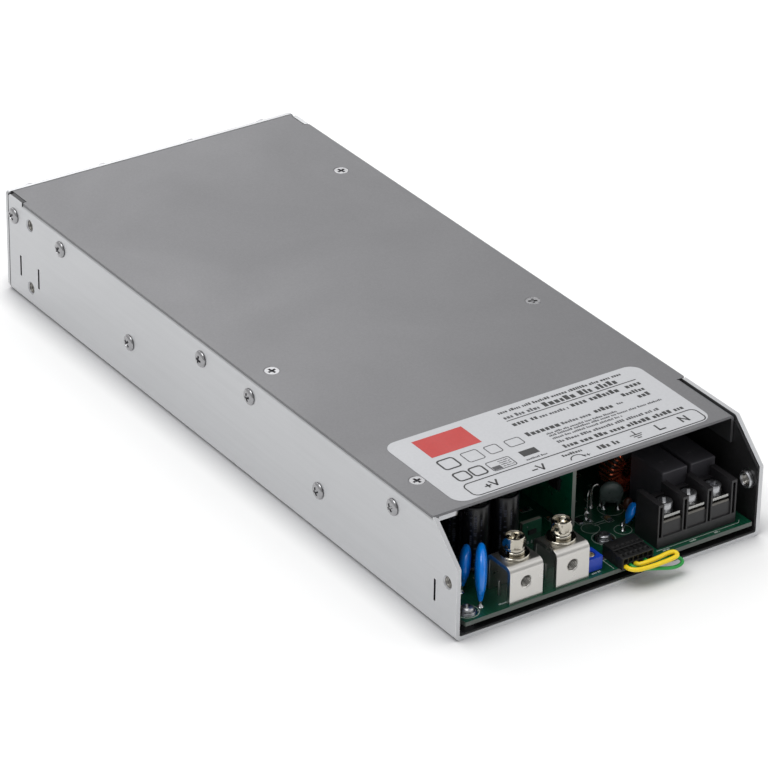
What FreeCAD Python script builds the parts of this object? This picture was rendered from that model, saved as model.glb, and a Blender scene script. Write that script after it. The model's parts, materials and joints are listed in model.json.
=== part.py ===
import FreeCAD, Part
import math
import os

# Enclosed 1U switching power supply, in millimetres, +Z up.
# The origin is the centre of the bottom face. The terminals face -Y and the fans face +Y.

Vec = FreeCAD.Vector

# Case
case_length = 295.0
case_width = 127.0
case_height = 41.0
wall = 1.6                  # chassis sheet
bend_inner_r = 0.8          # inside radius of the two floor bends
top_bend_r = 1.2            # outside radius where a wall turns into its top flange
cover_sheet = 1.0
panel_sheet = 1.5           # rear fan panel
film = 0.4                  # insulating film
sheet_gap = 0.3             # between the edges of neighbouring sheets

# Open front end
lip_height = 27.5           # upright part of the front edge of the side walls
slant_run = 14.5            # from the front edge back to the cover

# Top flanges, rear ears and the folded tab of the cover
flange_width = 10.0
fan_flange_width = 5.0      # narrower beside the fans
ear_length = 10.5
ear_r = 2.8
panel_corner_r = 1.5
open_wall_run = 30.0        # right wall without a flange, behind the slant
tab_depth = 9.5
cover_bend_r = 1.4
cover_corner_r = 1.0
flange_corner_r = 3.0
relief_r = 0.8

# Fixing holes for M4: pressed nuts in both walls and in the floor
nut_flange_r = 3.3
nut_shank_r = 2.6
nut_length = 2.0            # inside the case
nut_bore_r = 2.0
nut_lead_in = 0.45
rear_fixing_inset = 17.4    # from the rear end
rear_fixing_drop = 7.3      # upper hole, below the top
rear_fixing_low = 7.6
front_fixing_inset = 5.3    # from the front end
front_fixing_height = 20.4
floor_fixing_x = 48.0       # from the middle
floor_fixing_inset = 62.5   # from both ends

# Screws of the side walls, as (distance along the case, drop below the top)
wall_screws_front = [(37.6, 8.0), (82.2, 24.0)]      # from the front end
wall_screws_middle = [(-21.6, 8.0), (10.1, 7.9)]     # from the middle of the length
wall_screws_rear = [(88.5, 23.9), (39.9, 7.3)]       # from the rear end
panel_screw_inset = 5.7
panel_screw_drop = 8.1
pan_head_r = 3.1
pan_head_height = 1.3
m3_shank_r = 1.4
m3_hole_r = 1.6
m3_tap_r = 1.5
side_screw_length = 5.0

# Narrow slots in the side walls
slot_width = 1.1
slot_height = 8.4
slot_middle = 13.9
slot_insets = [10.1, 23.3]  # from the rear end
front_slot_inset = 12.5     # from the front end

# Countersunk cover screws
cover_screw_left = 8.8      # from the outer wall faces
cover_screw_right = 11.8
cover_screw_front = 22.0    # from the front edge of the cover
cover_screw_rear = 52.7     # from the rear end
cover_screw_middle_left = -22.2
cover_screw_middle_right = -28.9
csk_head_r = 2.9
csk_shank_r = 1.4
csk_depth = 1.5
csk_sunk = 0.1
csk_length = 4.0

# Rating label
label_left = 11.5           # from the left wall face
label_right = 9.5
label_front = 2.0           # from the front edge of the cover
label_depth = 45.0
label_sheet = 0.1
label_corner_r = 5.0

# Fans
fan_gap = 0.2               # above and below the fans
fan_depth = 28.0
fan_left_gap = 6.4          # from the inside of each wall
fan_right_gap = 8.4
fan_hole_margin = 3.0
fan_hole_r = 1.9
fan_rim = 1.2               # thinnest wall round the bore
fan_flange = 4.0
fan_corner_r = 2.5
fan_hub_r = 10.2
fan_tip_gap = 0.6
fan_base = 3.0              # motor plate between the struts
fan_strut = 2.6
fan_blades = 7
blade_sheet = 1.0
blade_camber = 1.1
blade_root_chord = 15.0
blade_tip_chord = 16.0
blade_root_angle = 46.0     # from the plane of rotation
blade_tip_angle = 33.0
cup_wall = 1.4
cup_gap = 0.8
spindle_r = 1.5
bearing_wall = 1.4
running_gap = 0.3
fan_screw_head_r = 3.4
fan_screw_head = 3.0
fan_screw_shank_r = 1.5
fan_screw_length = 8.0

# Grille punched in the rear panel
grille_rings = 3
grille_arcs = 4
grille_inner_r = 6.2
grille_rib = 1.4
grille_bridge = 2.6         # metal between the ends of two arcs

# Main board
board = 1.6
board_top = 6.0
board_left_gap = 2.7        # from the inside of the left wall
board_right_gap = 1.5
board_front_gap = 0.5
board_rear_gap = 5.0        # from the fans
standoff_r = 3.0
standoff_shank_r = 2.0
standoff_bore_r = 1.35
board_screw_r = 1.25
board_screw_length = 4.5
board_head_r = 2.4
board_head = 1.7
board_washer_r = 2.9
board_washer = 0.6
board_hole_r = 1.7
board_screw_left = 7.0      # from the inside of each wall
board_screw_right = 9.0
board_screws_left_front = [5.9, 73.5, 183.5]         # from the front end
board_screws_right_front = [79.5, 167.5]
board_screw_rear = 8.0      # from the rear edge of the board
board_screw_middle = (10.8, 19.0)   # from the AC terminals and from the front end

# DC output brackets: folded strips standing on the board
bracket_width = 13.5
bracket_depth = 13.5
bracket_height = 13.7
bracket_sheet = 1.6
bracket_bend_r = 1.0        # inside
bracket_front_inset = 1.5
bracket_wall_gap = 21.1     # from the inside of the left wall
output_tap_height = 7.0     # above the board
output_tap_r = 2.0
output_tap_lead_in = 0.4
output_screw_inset = 7.5    # from the bracket front
output_thread_r = 1.7
output_hole_r = 2.0
output_screw_length = 10.0
output_hex = 7.0
output_head = 3.9
recess_width = 1.3
recess_span = 4.4
recess_depth = 1.9
flat_washer_r = 5.2
flat_washer = 1.0
spring_washer_r = 3.7
spring_washer = 1.5
spring_split = 0.8
collar_r = 3.6
collar = 1.0
washer_bore_r = 2.1
seat_gap = 0.05             # under pieces that move
sense_pin_r = 0.5
sense_pin_height = 5.5
sense_pin_inset = 1.0       # from the left edge of a bracket

# Free width between neighbours in the front row, as shares: two brackets, trimmer, plug and AC terminals
row_shares = [0.3405, 0.046, 0.2822]

# AC barrier terminal block
ac_wall_gap = 6.5           # from the inside of the right wall
ac_pitch = 10.4
ac_barrier = 2.4
ac_poles = 3
ac_front_inset = 3.5
ac_depth = 12.5
ac_base = 4.0
ac_seat = 9.0               # seat of the lugs above the board
ac_height = 17.0
ac_rear_wall = 2.0
ac_rear_height = 13.5
ac_step = 0.6               # pole fronts behind the base front
ac_groove = 1.0
ac_groove_depth = 1.6
ac_screw_inset = 5.3
ac_lug = 1.0
ac_lug_margin = 0.4
ac_lug_tube_r = 2.5
ac_lug_tube = 4.5
ac_clamp = 1.0
ac_clamp_margin = 0.6
ac_clamp_front = 0.7
ac_clamp_rear = 2.8         # to the block's rear face
ac_clamp_lip = 0.9
ac_screw_r = 1.5
ac_hole_r = 1.8
ac_head_r = 3.0
ac_head = 3.6
ac_head_dome = 1.2
ac_screw_length = 8.0

# Signal connector and its two jumper wires
plug_pitch = 2.05
plug_columns = 6
plug_margin = 0.3
plug_front_out = 1.6        # in front of the case
plug_depth = 5.5
plug_height = 4.5
plug_foot = 0.2
plug_row_low = 1.4          # height of the rows above the board
plug_row_high = 3.5
cavity = 1.75
cavity_depth = 1.4
latch_slot = 1.0
latch_length = 2.2
latch_depth = 0.4
header_depth = 6.0
header_height = 5.2
header_wall = 0.7
yellow_diameter = 1.6
green_diameter = 1.3
yellow_columns = (0, 2)
green_columns = (1, 4)

# Output voltage trimmer
trimmer_width = 6.4
trimmer_depth = 6.8
trimmer_front_inset = 3.3
trimmer_foot = 0.3
trimmer_height = 4.9
trimmer_edge_r = 0.4
adjuster_r = 1.7
adjuster_well_r = 2.0
adjuster_well = 1.4
adjuster_height = 1.2
adjuster_slot = 0.6
adjuster_slot_depth = 0.6

# Dipped discs on two leads: (diameter, thickness, lead pitch, lead height, lead radius)
large_disc = (18.0, 4.2, 9.0, 2.5, 0.45)
small_disc = (12.8, 4.0, 6.5, 3.0, 0.4)
blue_disc = (6.8, 2.8, 3.4, 3.4, 0.3)
thermistor_disc = (8.4, 3.4, 5.0, 2.4, 0.4)
disc_edge_share = 0.46      # rounding of the rim, as a share of the thickness
disc_skirt = 2.6            # coating that runs down each lead
large_disc_at = (15.15, 9.9)    # from the inside of the left wall and from the front end
small_disc_at = (14.3, 19.5)
blue_disc_at = (1.0, 21.4)      # from the AC terminals and from the front end
thermistor_at = (9.0, 33.6)     # from the film capacitors and from the front end
disc_turn = 55.5            # degrees from +X to the plane of the discs
thermistor_turn = -34.5
small_disc_lean = 5.5       # degrees from upright
blue_disc_lean = 22.0

# Electrolytic capacitors
output_can_r = 5.0
output_can_height = 25.0
output_can_wall_gap = 25.6  # from the inside of the left wall to the first axis
output_can_front = 28.7     # from the front end
output_can_pitch = 12.2
output_can_rows = 2
bulk_can_r = 12.5
bulk_can_headroom = 3.0     # under the cover
bulk_can_wall_gap = 23.9
bulk_can_rear = 15.5        # from the rear edge of the board
bulk_can_pitch = 28.0
bulk_can_count = 3
can_groove = 0.5
can_groove_height = 2.2
can_bevel = 0.8

# Film capacitors behind the AC terminals
film_cap_wall_gap = 5.3     # from the inside of the right wall
film_cap_width = 10.7
film_cap_gap = 1.4
film_cap_front = 17.3       # from the front of the case
film_cap_depth = 18.0
film_cap_height = 19.0
film_cap_edge_r = 0.5

# Upright boards
control_board_x = 5.7
control_board_front = 30.8  # from the front of the case
control_board_length = 62.0
control_board_headroom = 4.5
sense_board_gap = 2.3       # from the output capacitors
sense_board_width = 8.0
sense_board_front = 28.0
sense_board_height = 10.0
small_board = 1.6

# Wound parts: (core outer radius, core inner radius, core height)
filter_choke = (8.0, 4.2, 6.0)
pfc_choke = (19.0, 10.5, 15.0)
output_choke = (14.0, 7.5, 12.0)
filter_choke_at = (2.2, 1.6)    # right of the film capacitors' left face, and behind them
pfc_choke_at = (35.9, 73.0)     # from the inside of the right wall and the rear edge of the board
output_choke_at = (33.9, 65.5)  # from the inside of the left wall and the front end
winding = 1.6               # build of the wire on a core
winding_gap = 50.0          # degrees left bare
core_bevel = 0.8

# Transformer
transformer_at = (35.9, 115.5)  # from the inside of the left wall and the front end
core_width = 42.0
core_depth = 30.0
core_headroom = 3.0
core_leg = 8.0
core_yoke = 6.5
coil_out = 6.0              # coil beyond the core, on each side
coil_gap = 0.6

# Fuse
fuse_at = (11.9, 61.5)          # from the inside of the right wall and the front end
fuse_r = 2.6
fuse_length = 20.0
fuse_cap = 5.0
fuse_height = 5.0
clip_width = 4.0
clip_sheet = 0.5

# Heat bars along the walls and what is clamped to them
bar_sheet = 4.0
bar_low = 8.0
bar_top_gap = 1.4           # under the flanges
bar_rear_gap = 4.0          # from the fans
left_bar_front = 32.0       # from the front of the case
right_bar_front = 50.0
package_width = 15.9
package_height = 20.0
package = 5.0
package_low = 12.0
package_lead_count = 3
package_lead_pitch = 5.4
package_lead = 1.2
left_packages = [25.5, 57.5, 107.5, 129.5]   # from the front end of each bar
right_packages = [57.5, 83.5]
right_package_rear = 51.0   # from the rear edge of the board
bridge_rear = 27.0
bridge_width = 30.0
bridge_height = 20.0
bridge_depth = 4.6
bridge_lead_count = 4
bridge_lead_pitch = 7.5

# Levels and planes that follow from the sizes above
x_out = case_width / 2
x_in = x_out - wall
y_front = -case_length / 2
y_rear = case_length / 2
wall_end = y_rear - panel_sheet
cover_z = case_height - cover_sheet
flange_z = cover_z - wall
cover_front = y_front + slant_run
ear_start = wall_end - ear_length
tab_rear = cover_front + open_wall_run
tab_face = x_in - film - sheet_gap
fan_rear = wall_end
fan_front = fan_rear - fan_depth
fan_z = (wall + cover_z) / 2
fan_size = cover_z - wall - 2 * fan_gap
fan_hole_pitch = fan_size - 2 * fan_hole_margin
fan_bore_r = fan_size / 2 - fan_rim
fan_xs = [-x_in + fan_left_gap + fan_size / 2, x_in - fan_right_gap - fan_size / 2]
grille_slot = (fan_bore_r - grille_inner_r - (grille_rings - 1) * grille_rib) / grille_rings
board_bottom = board_top - board
board_left = -x_in + board_left_gap
board_right = x_in - board_right_gap
board_front = y_front + board_front_gap
board_rear = fan_front - board_rear_gap
bar_high = flange_z - bar_top_gap

# Front row from left to right, then what stands behind it
ac_width = ac_poles * ac_pitch + ac_barrier
plug_width = 2 * plug_margin + plug_columns * plug_pitch
bracket_left = -x_in + bracket_wall_gap
ac_left = x_in - ac_wall_gap - ac_width
row_slack = ac_left - bracket_left - 2 * bracket_width - trimmer_width - plug_width
bracket_pitch = bracket_width + row_shares[0] * row_slack
bracket_middles = [bracket_left + bracket_width / 2, bracket_left + bracket_width / 2 + bracket_pitch]
trimmer_left = bracket_middles[1] + bracket_width / 2 + row_shares[1] * row_slack
plug_left = trimmer_left + trimmer_width + row_shares[2] * row_slack
film_cap_left = x_in - film_cap_wall_gap - 2 * film_cap_width - film_cap_gap
film_cap_rear = y_front + film_cap_front + film_cap_depth
output_can_x = -x_in + output_can_wall_gap
sense_board_left = output_can_x + output_can_pitch + output_can_r + sense_board_gap

AXES = {"x": Vec(1, 0, 0), "y": Vec(0, 1, 0), "z": Vec(0, 0, 1)}
AIMS = {
    "z": (Vec(1, 0, 0), 0),
    "-z": (Vec(1, 0, 0), 180),
    "y": (Vec(1, 0, 0), -90),
    "-y": (Vec(1, 0, 0), 90),
    "x": (Vec(0, 1, 0), 90),
    "-x": (Vec(0, 1, 0), -90),
}
NORMALS = {"xy": Vec(0, 0, 1), "xz": Vec(0, 1, 0), "yz": Vec(1, 0, 0)}


# Drawing helpers
def on_plane(plane, u, v, level):
    if plane == "xy":
        return Vec(u, v, level)
    if plane == "xz":
        return Vec(u, level, v)
    return Vec(level, u, v)


def outline(corners, plane, level):
    """Closed wire through (u, v, size) corners: a size above zero rounds its corner, one below bevels it."""
    ends = []
    edges = []
    count = len(corners)
    for i in range(count):
        u, v, size = corners[i]
        here = on_plane(plane, u, v, level)
        if size == 0:
            ends.append((here, here))
            continue
        before = on_plane(plane, corners[i - 1][0], corners[i - 1][1], level)
        after = on_plane(plane, corners[(i + 1) % count][0], corners[(i + 1) % count][1], level)
        back = (before - here).normalize()
        ahead = (after - here).normalize()
        half = back.getAngle(ahead) / 2
        reach = size / math.tan(half) if size > 0 else -size
        first = here + back * reach
        last = here + ahead * reach
        if size > 0:
            inward = (back + ahead).normalize()
            middle = here + inward * (size / math.sin(half) - size)
            edges.append(Part.Arc(first, middle, last).toShape())
        else:
            edges.append(Part.LineSegment(first, last).toShape())
        ends.append((first, last))
    for i in range(count):
        start = ends[i][1]
        finish = ends[(i + 1) % count][0]
        if start.distanceToPoint(finish) > 1e-6:
            edges.append(Part.LineSegment(start, finish).toShape())
    return Part.Wire(Part.__sortEdges__(edges))


def plate(corners, plane, low, high):
    """A flat outline raised from one level to another."""
    return Part.Face(outline(corners, plane, low)).extrude(NORMALS[plane] * (high - low))


def rect(u0, u1, v0, v1, radius=0.0):
    return [(u0, v0, radius), (u1, v0, radius), (u1, v1, radius), (u0, v1, radius)]


def box(x0, x1, y0, y1, z0, z1):
    return Part.makeBox(x1 - x0, y1 - y0, z1 - z0, Vec(x0, y0, z0))


def rod(axis, radius, low, high, at):
    """A round bar along an axis; at holds the other two coordinates, in the order x, y, z."""
    if axis == "x":
        base = Vec(low, at[0], at[1])
    elif axis == "y":
        base = Vec(at[0], low, at[1])
    else:
        base = Vec(at[0], at[1], low)
    return Part.makeCylinder(radius, high - low, base, AXES[axis])


def turned(corners):
    """A turned piece about +Z from (radius, height, size) corners."""
    return Part.Face(outline(corners, "xz", 0.0)).revolve(Vec(0, 0, 0), AXES["z"], 360)


def aim(shape, direction, point):
    """A copy of a piece that was made along +Z, turned to a direction and set at a point."""
    copy = shape.copy()
    line, angle = AIMS[direction]
    copy.rotate(Vec(0, 0, 0), line, angle)
    copy.translate(point)
    return copy


def fuse(shapes):
    return shapes[0].fuse(shapes[1:]).removeSplitter()


def group(shapes):
    return Part.makeCompound(shapes)


def span(side, near, far):
    """The two X values of a stretch on the left (-1) or right (+1) side, in rising order."""
    return sorted((side * near, side * far))


# Places that more than one piece shares
def side_fixings():
    """Each M4 side hole as (side, y, z)."""
    rear = y_rear - rear_fixing_inset
    spots = [(rear, case_height - rear_fixing_drop), (rear, rear_fixing_low)]
    spots.append((y_front + front_fixing_inset, front_fixing_height))
    return [(side, y, z) for side in (-1, 1) for y, z in spots]


def floor_fixings():
    return [(side * floor_fixing_x, y) for side in (-1, 1)
            for y in (y_front + floor_fixing_inset, y_rear - floor_fixing_inset)]


def side_screw_spots():
    """Each side screw as (side, y, z): heat bars, rear panel and, at the right front, the cover tab."""
    spots = [(y_front + along, drop) for along, drop in wall_screws_front]
    spots += wall_screws_middle
    spots += [(y_rear - along, drop) for along, drop in wall_screws_rear]
    spots.append((y_rear - panel_screw_inset, panel_screw_drop))
    return [(side, y, case_height - drop) for side in (-1, 1) for y, drop in spots]


def cover_screw_spots():
    left = -x_out + cover_screw_left
    right = x_out - cover_screw_right
    return [
        (left, cover_front + cover_screw_front),
        (left, cover_screw_middle_left),
        (right, cover_screw_middle_right),
        (right, y_rear - cover_screw_rear),
    ]


def board_screw_spots():
    left = -x_in + board_screw_left
    right = x_in - board_screw_right
    rear = board_rear - board_screw_rear
    spots = [(left, y_front + along) for along in board_screws_left_front]
    spots += [(right, y_front + along) for along in board_screws_right_front]
    spots += [(left, rear), (right, rear)]
    spots.append((ac_left - board_screw_middle[0], y_front + board_screw_middle[1]))
    return spots


def fan_screw_spots():
    half = fan_hole_pitch / 2
    return [(x + sx * half, fan_z + sz * half) for x in fan_xs for sx in (-1, 1) for sz in (-1, 1)]


def pole_x(pole):
    return ac_left + ac_barrier / 2 + (pole + 0.5) * ac_pitch


def column_x(column):
    return plug_left + plug_margin + (column + 0.5) * plug_pitch


# Housing
def flange(side, start, end, width):
    corners = [
        (side * (x_in - width), flange_z, 0),
        (side * x_out, flange_z, 0),
        (side * x_out, cover_z, top_bend_r),
        (side * (x_in - width), cover_z, 0),
    ]
    return plate(corners, "xz", start, end)


def countersink(x, y):
    top = Vec(x, y, case_height)
    head = Part.makeCone(csk_head_r, csk_shank_r, csk_depth, top, Vec(0, 0, -1))
    return head.fuse(rod("z", csk_shank_r, flange_z - 1, case_height, (x, y)))


def front_slant(margin):
    """What is cut off the front of the side walls, or of a lining that stays a margin behind them."""
    corners = [
        (y_front - 1, lip_height - margin, 0),
        (y_front, lip_height - margin, 0),
        (cover_front, case_height - margin, 0),
        (cover_front, case_height + 1, 0),
        (y_front - 1, case_height + 1, 0),
    ]
    return plate(corners, "yz", -x_out - 1, x_out + 1)


def chassis():
    bend_outer_r = bend_inner_r + wall
    section = [
        (-x_out, 0, bend_outer_r),
        (x_out, 0, bend_outer_r),
        (x_out, case_height, 0),
        (x_in, case_height, 0),
        (x_in, wall, bend_inner_r),
        (-x_in, wall, bend_inner_r),
        (-x_in, case_height, 0),
        (-x_out, case_height, 0),
    ]
    shell = plate(section, "xz", y_front, wall_end)
    runs = [
        (-1, cover_front, fan_front, flange_width),
        (-1, fan_front, ear_start, fan_flange_width),
        (1, tab_rear, fan_front, flange_width),
        (1, fan_front, ear_start, fan_flange_width),
    ]
    for side, start, end, width in runs:
        x0, x1 = span(side, x_in - 1, x_out + 1)
        shell = shell.cut(box(x0, x1, start, end, flange_z, case_height + 1))
    shell = fuse([shell] + [flange(*run) for run in runs])
    shell = shell.cut(front_slant(0))
    inner = -x_in + flange_width
    corner = box(inner - flange_corner_r, inner + 1, cover_front - 1, cover_front + flange_corner_r,
                 flange_z, cover_z)
    rounding = rod("z", flange_corner_r, flange_z, cover_z,
                   (inner - flange_corner_r, cover_front + flange_corner_r))
    shell = shell.cut(corner.cut(rounding))
    ear = box(-x_out, x_out, wall_end - ear_r, wall_end + 1, case_height - ear_r, case_height + 1)
    ear = ear.cut(rod("x", ear_r, -x_out, x_out, (wall_end - ear_r, case_height - ear_r)))
    cuts = [ear, rod("z", relief_r, flange_z - 1, case_height, (-x_in, cover_front))]
    for side, y, z in side_fixings():
        x0, x1 = span(side, x_in - 1, x_out + 1)
        cuts.append(rod("x", nut_shank_r, x0, x1, (y, z)))
    for side, y, z in side_screw_spots():
        x0, x1 = span(side, x_in - 1, x_out + 1)
        cuts.append(rod("x", m3_hole_r, x0, x1, (y, z)))
    slot_ys = [y_rear - inset for inset in slot_insets] + [y_front + front_slot_inset]
    for y in slot_ys:
        low = slot_middle - slot_height / 2
        high = slot_middle + slot_height / 2
        slot = rect(y - slot_width / 2, y + slot_width / 2, low, high)
        cuts.append(plate(slot, "yz", -x_out - 1, -x_in + 1))
        cuts.append(plate(slot, "yz", x_in - 1, x_out + 1))
    for x, y in floor_fixings():
        cuts.append(rod("z", nut_shank_r, -1, wall + 1, (x, y)))
    for x, y in board_screw_spots():
        cuts.append(rod("z", standoff_shank_r, -1, wall + 1, (x, y)))
    for x, y in cover_screw_spots():
        cuts.append(countersink(x, y))
    return shell.cut(cuts)


def cover():
    ear_edge = x_in - sheet_gap
    notch = ear_start - sheet_gap
    rear = wall_end - sheet_gap
    flat = [
        (-x_out, cover_front, cover_corner_r),
        (tab_face - cover_bend_r, cover_front, 0),
        (tab_face - cover_bend_r, tab_rear + sheet_gap, 0),
        (x_out, tab_rear + sheet_gap, cover_corner_r),
        (x_out, notch, cover_corner_r),
        (ear_edge, notch, 0),
        (ear_edge, rear, 0),
        (-ear_edge, rear, 0),
        (-ear_edge, notch, 0),
        (-x_out, notch, cover_corner_r),
    ]
    tab = [
        (tab_face - 3 * cover_bend_r, cover_z, 0),
        (tab_face - cover_sheet, cover_z, cover_bend_r - cover_sheet),
        (tab_face - cover_sheet, cover_z - tab_depth, 0),
        (tab_face, cover_z - tab_depth, 0),
        (tab_face, case_height, cover_bend_r),
        (tab_face - 3 * cover_bend_r, case_height, 0),
    ]
    sheet = fuse([plate(flat, "xy", cover_z, case_height), plate(tab, "xz", cover_front, tab_rear)])
    cuts = [countersink(x, y) for x, y in cover_screw_spots()]
    for side, y, z in side_screw_spots():
        if side > 0 and cover_front < y < tab_rear:
            cuts.append(rod("x", m3_tap_r, tab_face - cover_sheet - 1, tab_face + 1, (y, z)))
    return sheet.cut(cuts)


def grille_slot_shape(x, ring, arc):
    """One curved slot of the grille, as a cutter through the rear panel."""
    low = grille_inner_r + ring * (grille_slot + grille_rib)
    high = low + grille_slot
    step = 2 * math.pi / grille_arcs
    start = arc * step + (ring % 2) * step / 2
    bridge = grille_bridge / (low + high)
    first = start + bridge
    last = start + step - bridge
    middle = (first + last) / 2

    def point(radius, angle):
        return Vec(x + radius * math.cos(angle), wall_end - 1, fan_z + radius * math.sin(angle))

    edges = [
        Part.Arc(point(low, first), point(low, middle), point(low, last)).toShape(),
        Part.LineSegment(point(low, last), point(high, last)).toShape(),
        Part.Arc(point(high, last), point(high, middle), point(high, first)).toShape(),
        Part.LineSegment(point(high, first), point(low, first)).toShape(),
    ]
    return Part.Face(Part.Wire(edges)).extrude(Vec(0, panel_sheet + 2, 0))


def rear_panel():
    face = [
        (-x_out, sheet_gap, bend_inner_r + wall),
        (x_out, sheet_gap, bend_inner_r + wall),
        (x_out, case_height, panel_corner_r),
        (-x_out, case_height, panel_corner_r),
    ]
    shapes = [plate(face, "xz", wall_end, y_rear)]
    screw_z = case_height - panel_screw_drop
    tab_low = screw_z - 2 * pan_head_r
    tab_front = y_rear - panel_screw_inset - 2 * pan_head_r
    for side in (-1, 1):
        x0, x1 = span(side, x_in - panel_sheet, x_in)
        shapes.append(box(x0, x1, tab_front, wall_end, tab_low, flange_z))
    panel = fuse(shapes)
    cuts = []
    for x in fan_xs:
        for ring in range(grille_rings):
            for arc in range(grille_arcs):
                cuts.append(grille_slot_shape(x, ring, arc))
    for spot in fan_screw_spots():
        cuts.append(rod("y", m3_hole_r, wall_end - 1, y_rear + 1, spot))
    for side in (-1, 1):
        x0, x1 = span(side, x_in - panel_sheet - 1, x_in + 1)
        cuts.append(rod("x", m3_tap_r, x0, x1, (y_rear - panel_screw_inset, screw_z)))
    return panel.cut(cuts)


def insulation_film():
    """Lining of the floor, turned up along the right wall beside the AC terminals."""
    bend_r = bend_inner_r + sheet_gap
    bar_end = y_front + right_bar_front - sheet_gap
    turned_up = [
        (board_left, wall, 0),
        (x_in, wall, bend_r),
        (x_in, flange_z, 0),
        (x_in - film, flange_z, 0),
        (x_in - film, wall + film, bend_r - film),
        (board_left, wall + film, 0),
    ]
    flat = box(board_left, x_in - bend_r, bar_end, board_rear, wall, wall + film)
    sheet = fuse([plate(turned_up, "xz", board_front, bar_end), flat]).cut(front_slant(wall))
    cuts = []
    for x, y in board_screw_spots():
        cuts.append(rod("z", standoff_r + sheet_gap, wall - 1, wall + 1, (x, y)))
    for x, y in floor_fixings():
        cuts.append(rod("z", nut_flange_r + sheet_gap, wall - 1, wall + 1, (x, y)))
    for side, y, z in side_fixings():
        if side > 0:
            cuts.append(rod("x", nut_flange_r + sheet_gap, x_in - 2, x_in + 1, (y, z)))
    for side, y, z in side_screw_spots():
        if side > 0:
            cuts.append(rod("x", m3_hole_r, x_in - 2, x_in + 1, (y, z)))
    return sheet.cut(cuts)


def label():
    face = rect(-x_out + label_left, x_out - label_right, cover_front + label_front,
                cover_front + label_front + label_depth, label_corner_r)
    return plate(face, "xy", case_height, case_height + label_sheet)


# Fasteners
def clinch_nut(length):
    """A pressed nut along +Z: its shank fills the sheet below zero and its barrel stands above."""
    body = turned([
        (nut_bore_r, -wall + nut_lead_in, 0),
        (nut_bore_r + nut_lead_in, -wall, 0),
        (nut_shank_r, -wall, 0),
        (nut_shank_r, 0, 0),
        (nut_flange_r, 0, 0),
        (nut_flange_r, length, -nut_lead_in),
        (nut_bore_r, length, 0),
    ])
    return body


def clinch_nuts():
    side_nut = clinch_nut(nut_length)
    floor_nut = clinch_nut(board_bottom - wall - sheet_gap)
    nuts = []
    for side, y, z in side_fixings():
        nuts.append(aim(side_nut, "-x" if side > 0 else "x", Vec(side * x_in, y, z)))
    for x, y in floor_fixings():
        nuts.append(aim(floor_nut, "z", Vec(x, y, wall)))
    return group(nuts)


def pcb_standoffs():
    height = board_bottom - wall
    post = turned([
        (standoff_bore_r, -wall + relief_r / 2, 0),
        (standoff_shank_r, -wall + relief_r / 2, 0),
        (standoff_shank_r, 0, 0),
        (standoff_r, 0, 0),
        (standoff_r, height, 0),
        (standoff_bore_r, height, 0),
    ])
    return group([aim(post, "z", Vec(x, y, wall)) for x, y in board_screw_spots()])


def pan_screw(head_r, head, shank_r, length):
    """A pan-head screw along +Z with its seat at zero."""
    return turned([
        (0, -length, 0),
        (shank_r, -length, 0),
        (shank_r, 0, 0),
        (head_r, 0, 0),
        (head_r, head, -head / 2),
        (0, head, 0),
    ])


def side_screws():
    screw = pan_screw(pan_head_r, pan_head_height, m3_shank_r, side_screw_length)
    screws = []
    for side, y, z in side_screw_spots():
        screws.append(aim(screw, "x" if side > 0 else "-x", Vec(side * x_out, y, z)))
    return group(screws)


def cover_screws():
    screw = turned([
        (0, -csk_length, 0),
        (csk_shank_r - csk_sunk, -csk_length, 0),
        (csk_shank_r - csk_sunk, -csk_depth, 0),
        (csk_head_r - csk_sunk, -csk_sunk, 0),
        (0, -csk_sunk, 0),
    ])
    return group([aim(screw, "z", Vec(x, y, case_height)) for x, y in cover_screw_spots()])


def pcb_screws():
    seat = board_washer
    screw = turned([
        (0, -board_screw_length, 0),
        (board_screw_r, -board_screw_length, 0),
        (board_screw_r, 0, 0),
        (board_washer_r, 0, 0),
        (board_washer_r, seat, 0),
        (board_head_r, seat, 0),
        (board_head_r, seat + board_head, -board_head / 2),
        (0, seat + board_head, 0),
    ])
    return group([aim(screw, "z", Vec(x, y, board_top)) for x, y in board_screw_spots()])


def fan_screws():
    screw = pan_screw(fan_screw_head_r, fan_screw_head, fan_screw_shank_r, fan_screw_length)
    return group([aim(screw, "y", Vec(x, y_rear, z)) for x, z in fan_screw_spots()])


# Fans
def fan_frame(x):
    half = fan_size / 2
    square = rect(x - half, x + half, fan_z - half, fan_z + half, fan_corner_r)
    shapes = [
        plate(square, "xz", fan_front, fan_front + fan_flange),
        plate(square, "xz", fan_rear - fan_flange, fan_rear),
        rod("y", half, fan_front, fan_rear, (x, fan_z)),
    ]
    frame = fuse(shapes).cut(rod("y", fan_bore_r, fan_front - 1, fan_rear + 1, (x, fan_z)))
    parts = [rod("y", fan_hub_r, fan_front, fan_front + fan_base, (x, fan_z))]
    strut = box(x - fan_bore_r - 0.4, x + fan_bore_r + 0.4, fan_front, fan_front + fan_base,
                fan_z - fan_strut / 2, fan_z + fan_strut / 2)
    for angle in (45, 135):
        turn = strut.copy()
        turn.rotate(Vec(x, 0, fan_z), AXES["y"], angle)
        parts.append(turn)
    bearing_end = fan_rear - 2 * fan_base - cup_wall
    bearing_r = spindle_r + running_gap + bearing_wall
    parts.append(rod("y", bearing_r, fan_front, bearing_end, (x, fan_z)))
    frame = fuse([frame] + parts)
    cuts = [rod("y", spindle_r + running_gap, fan_front + fan_base / 2, fan_rear, (x, fan_z))]
    for spot in fan_screw_spots():
        if abs(spot[0] - x) < half:
            cuts.append(rod("y", fan_hole_r, fan_front - 1, fan_rear + 1, spot))
    return frame.cut(cuts)


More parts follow.
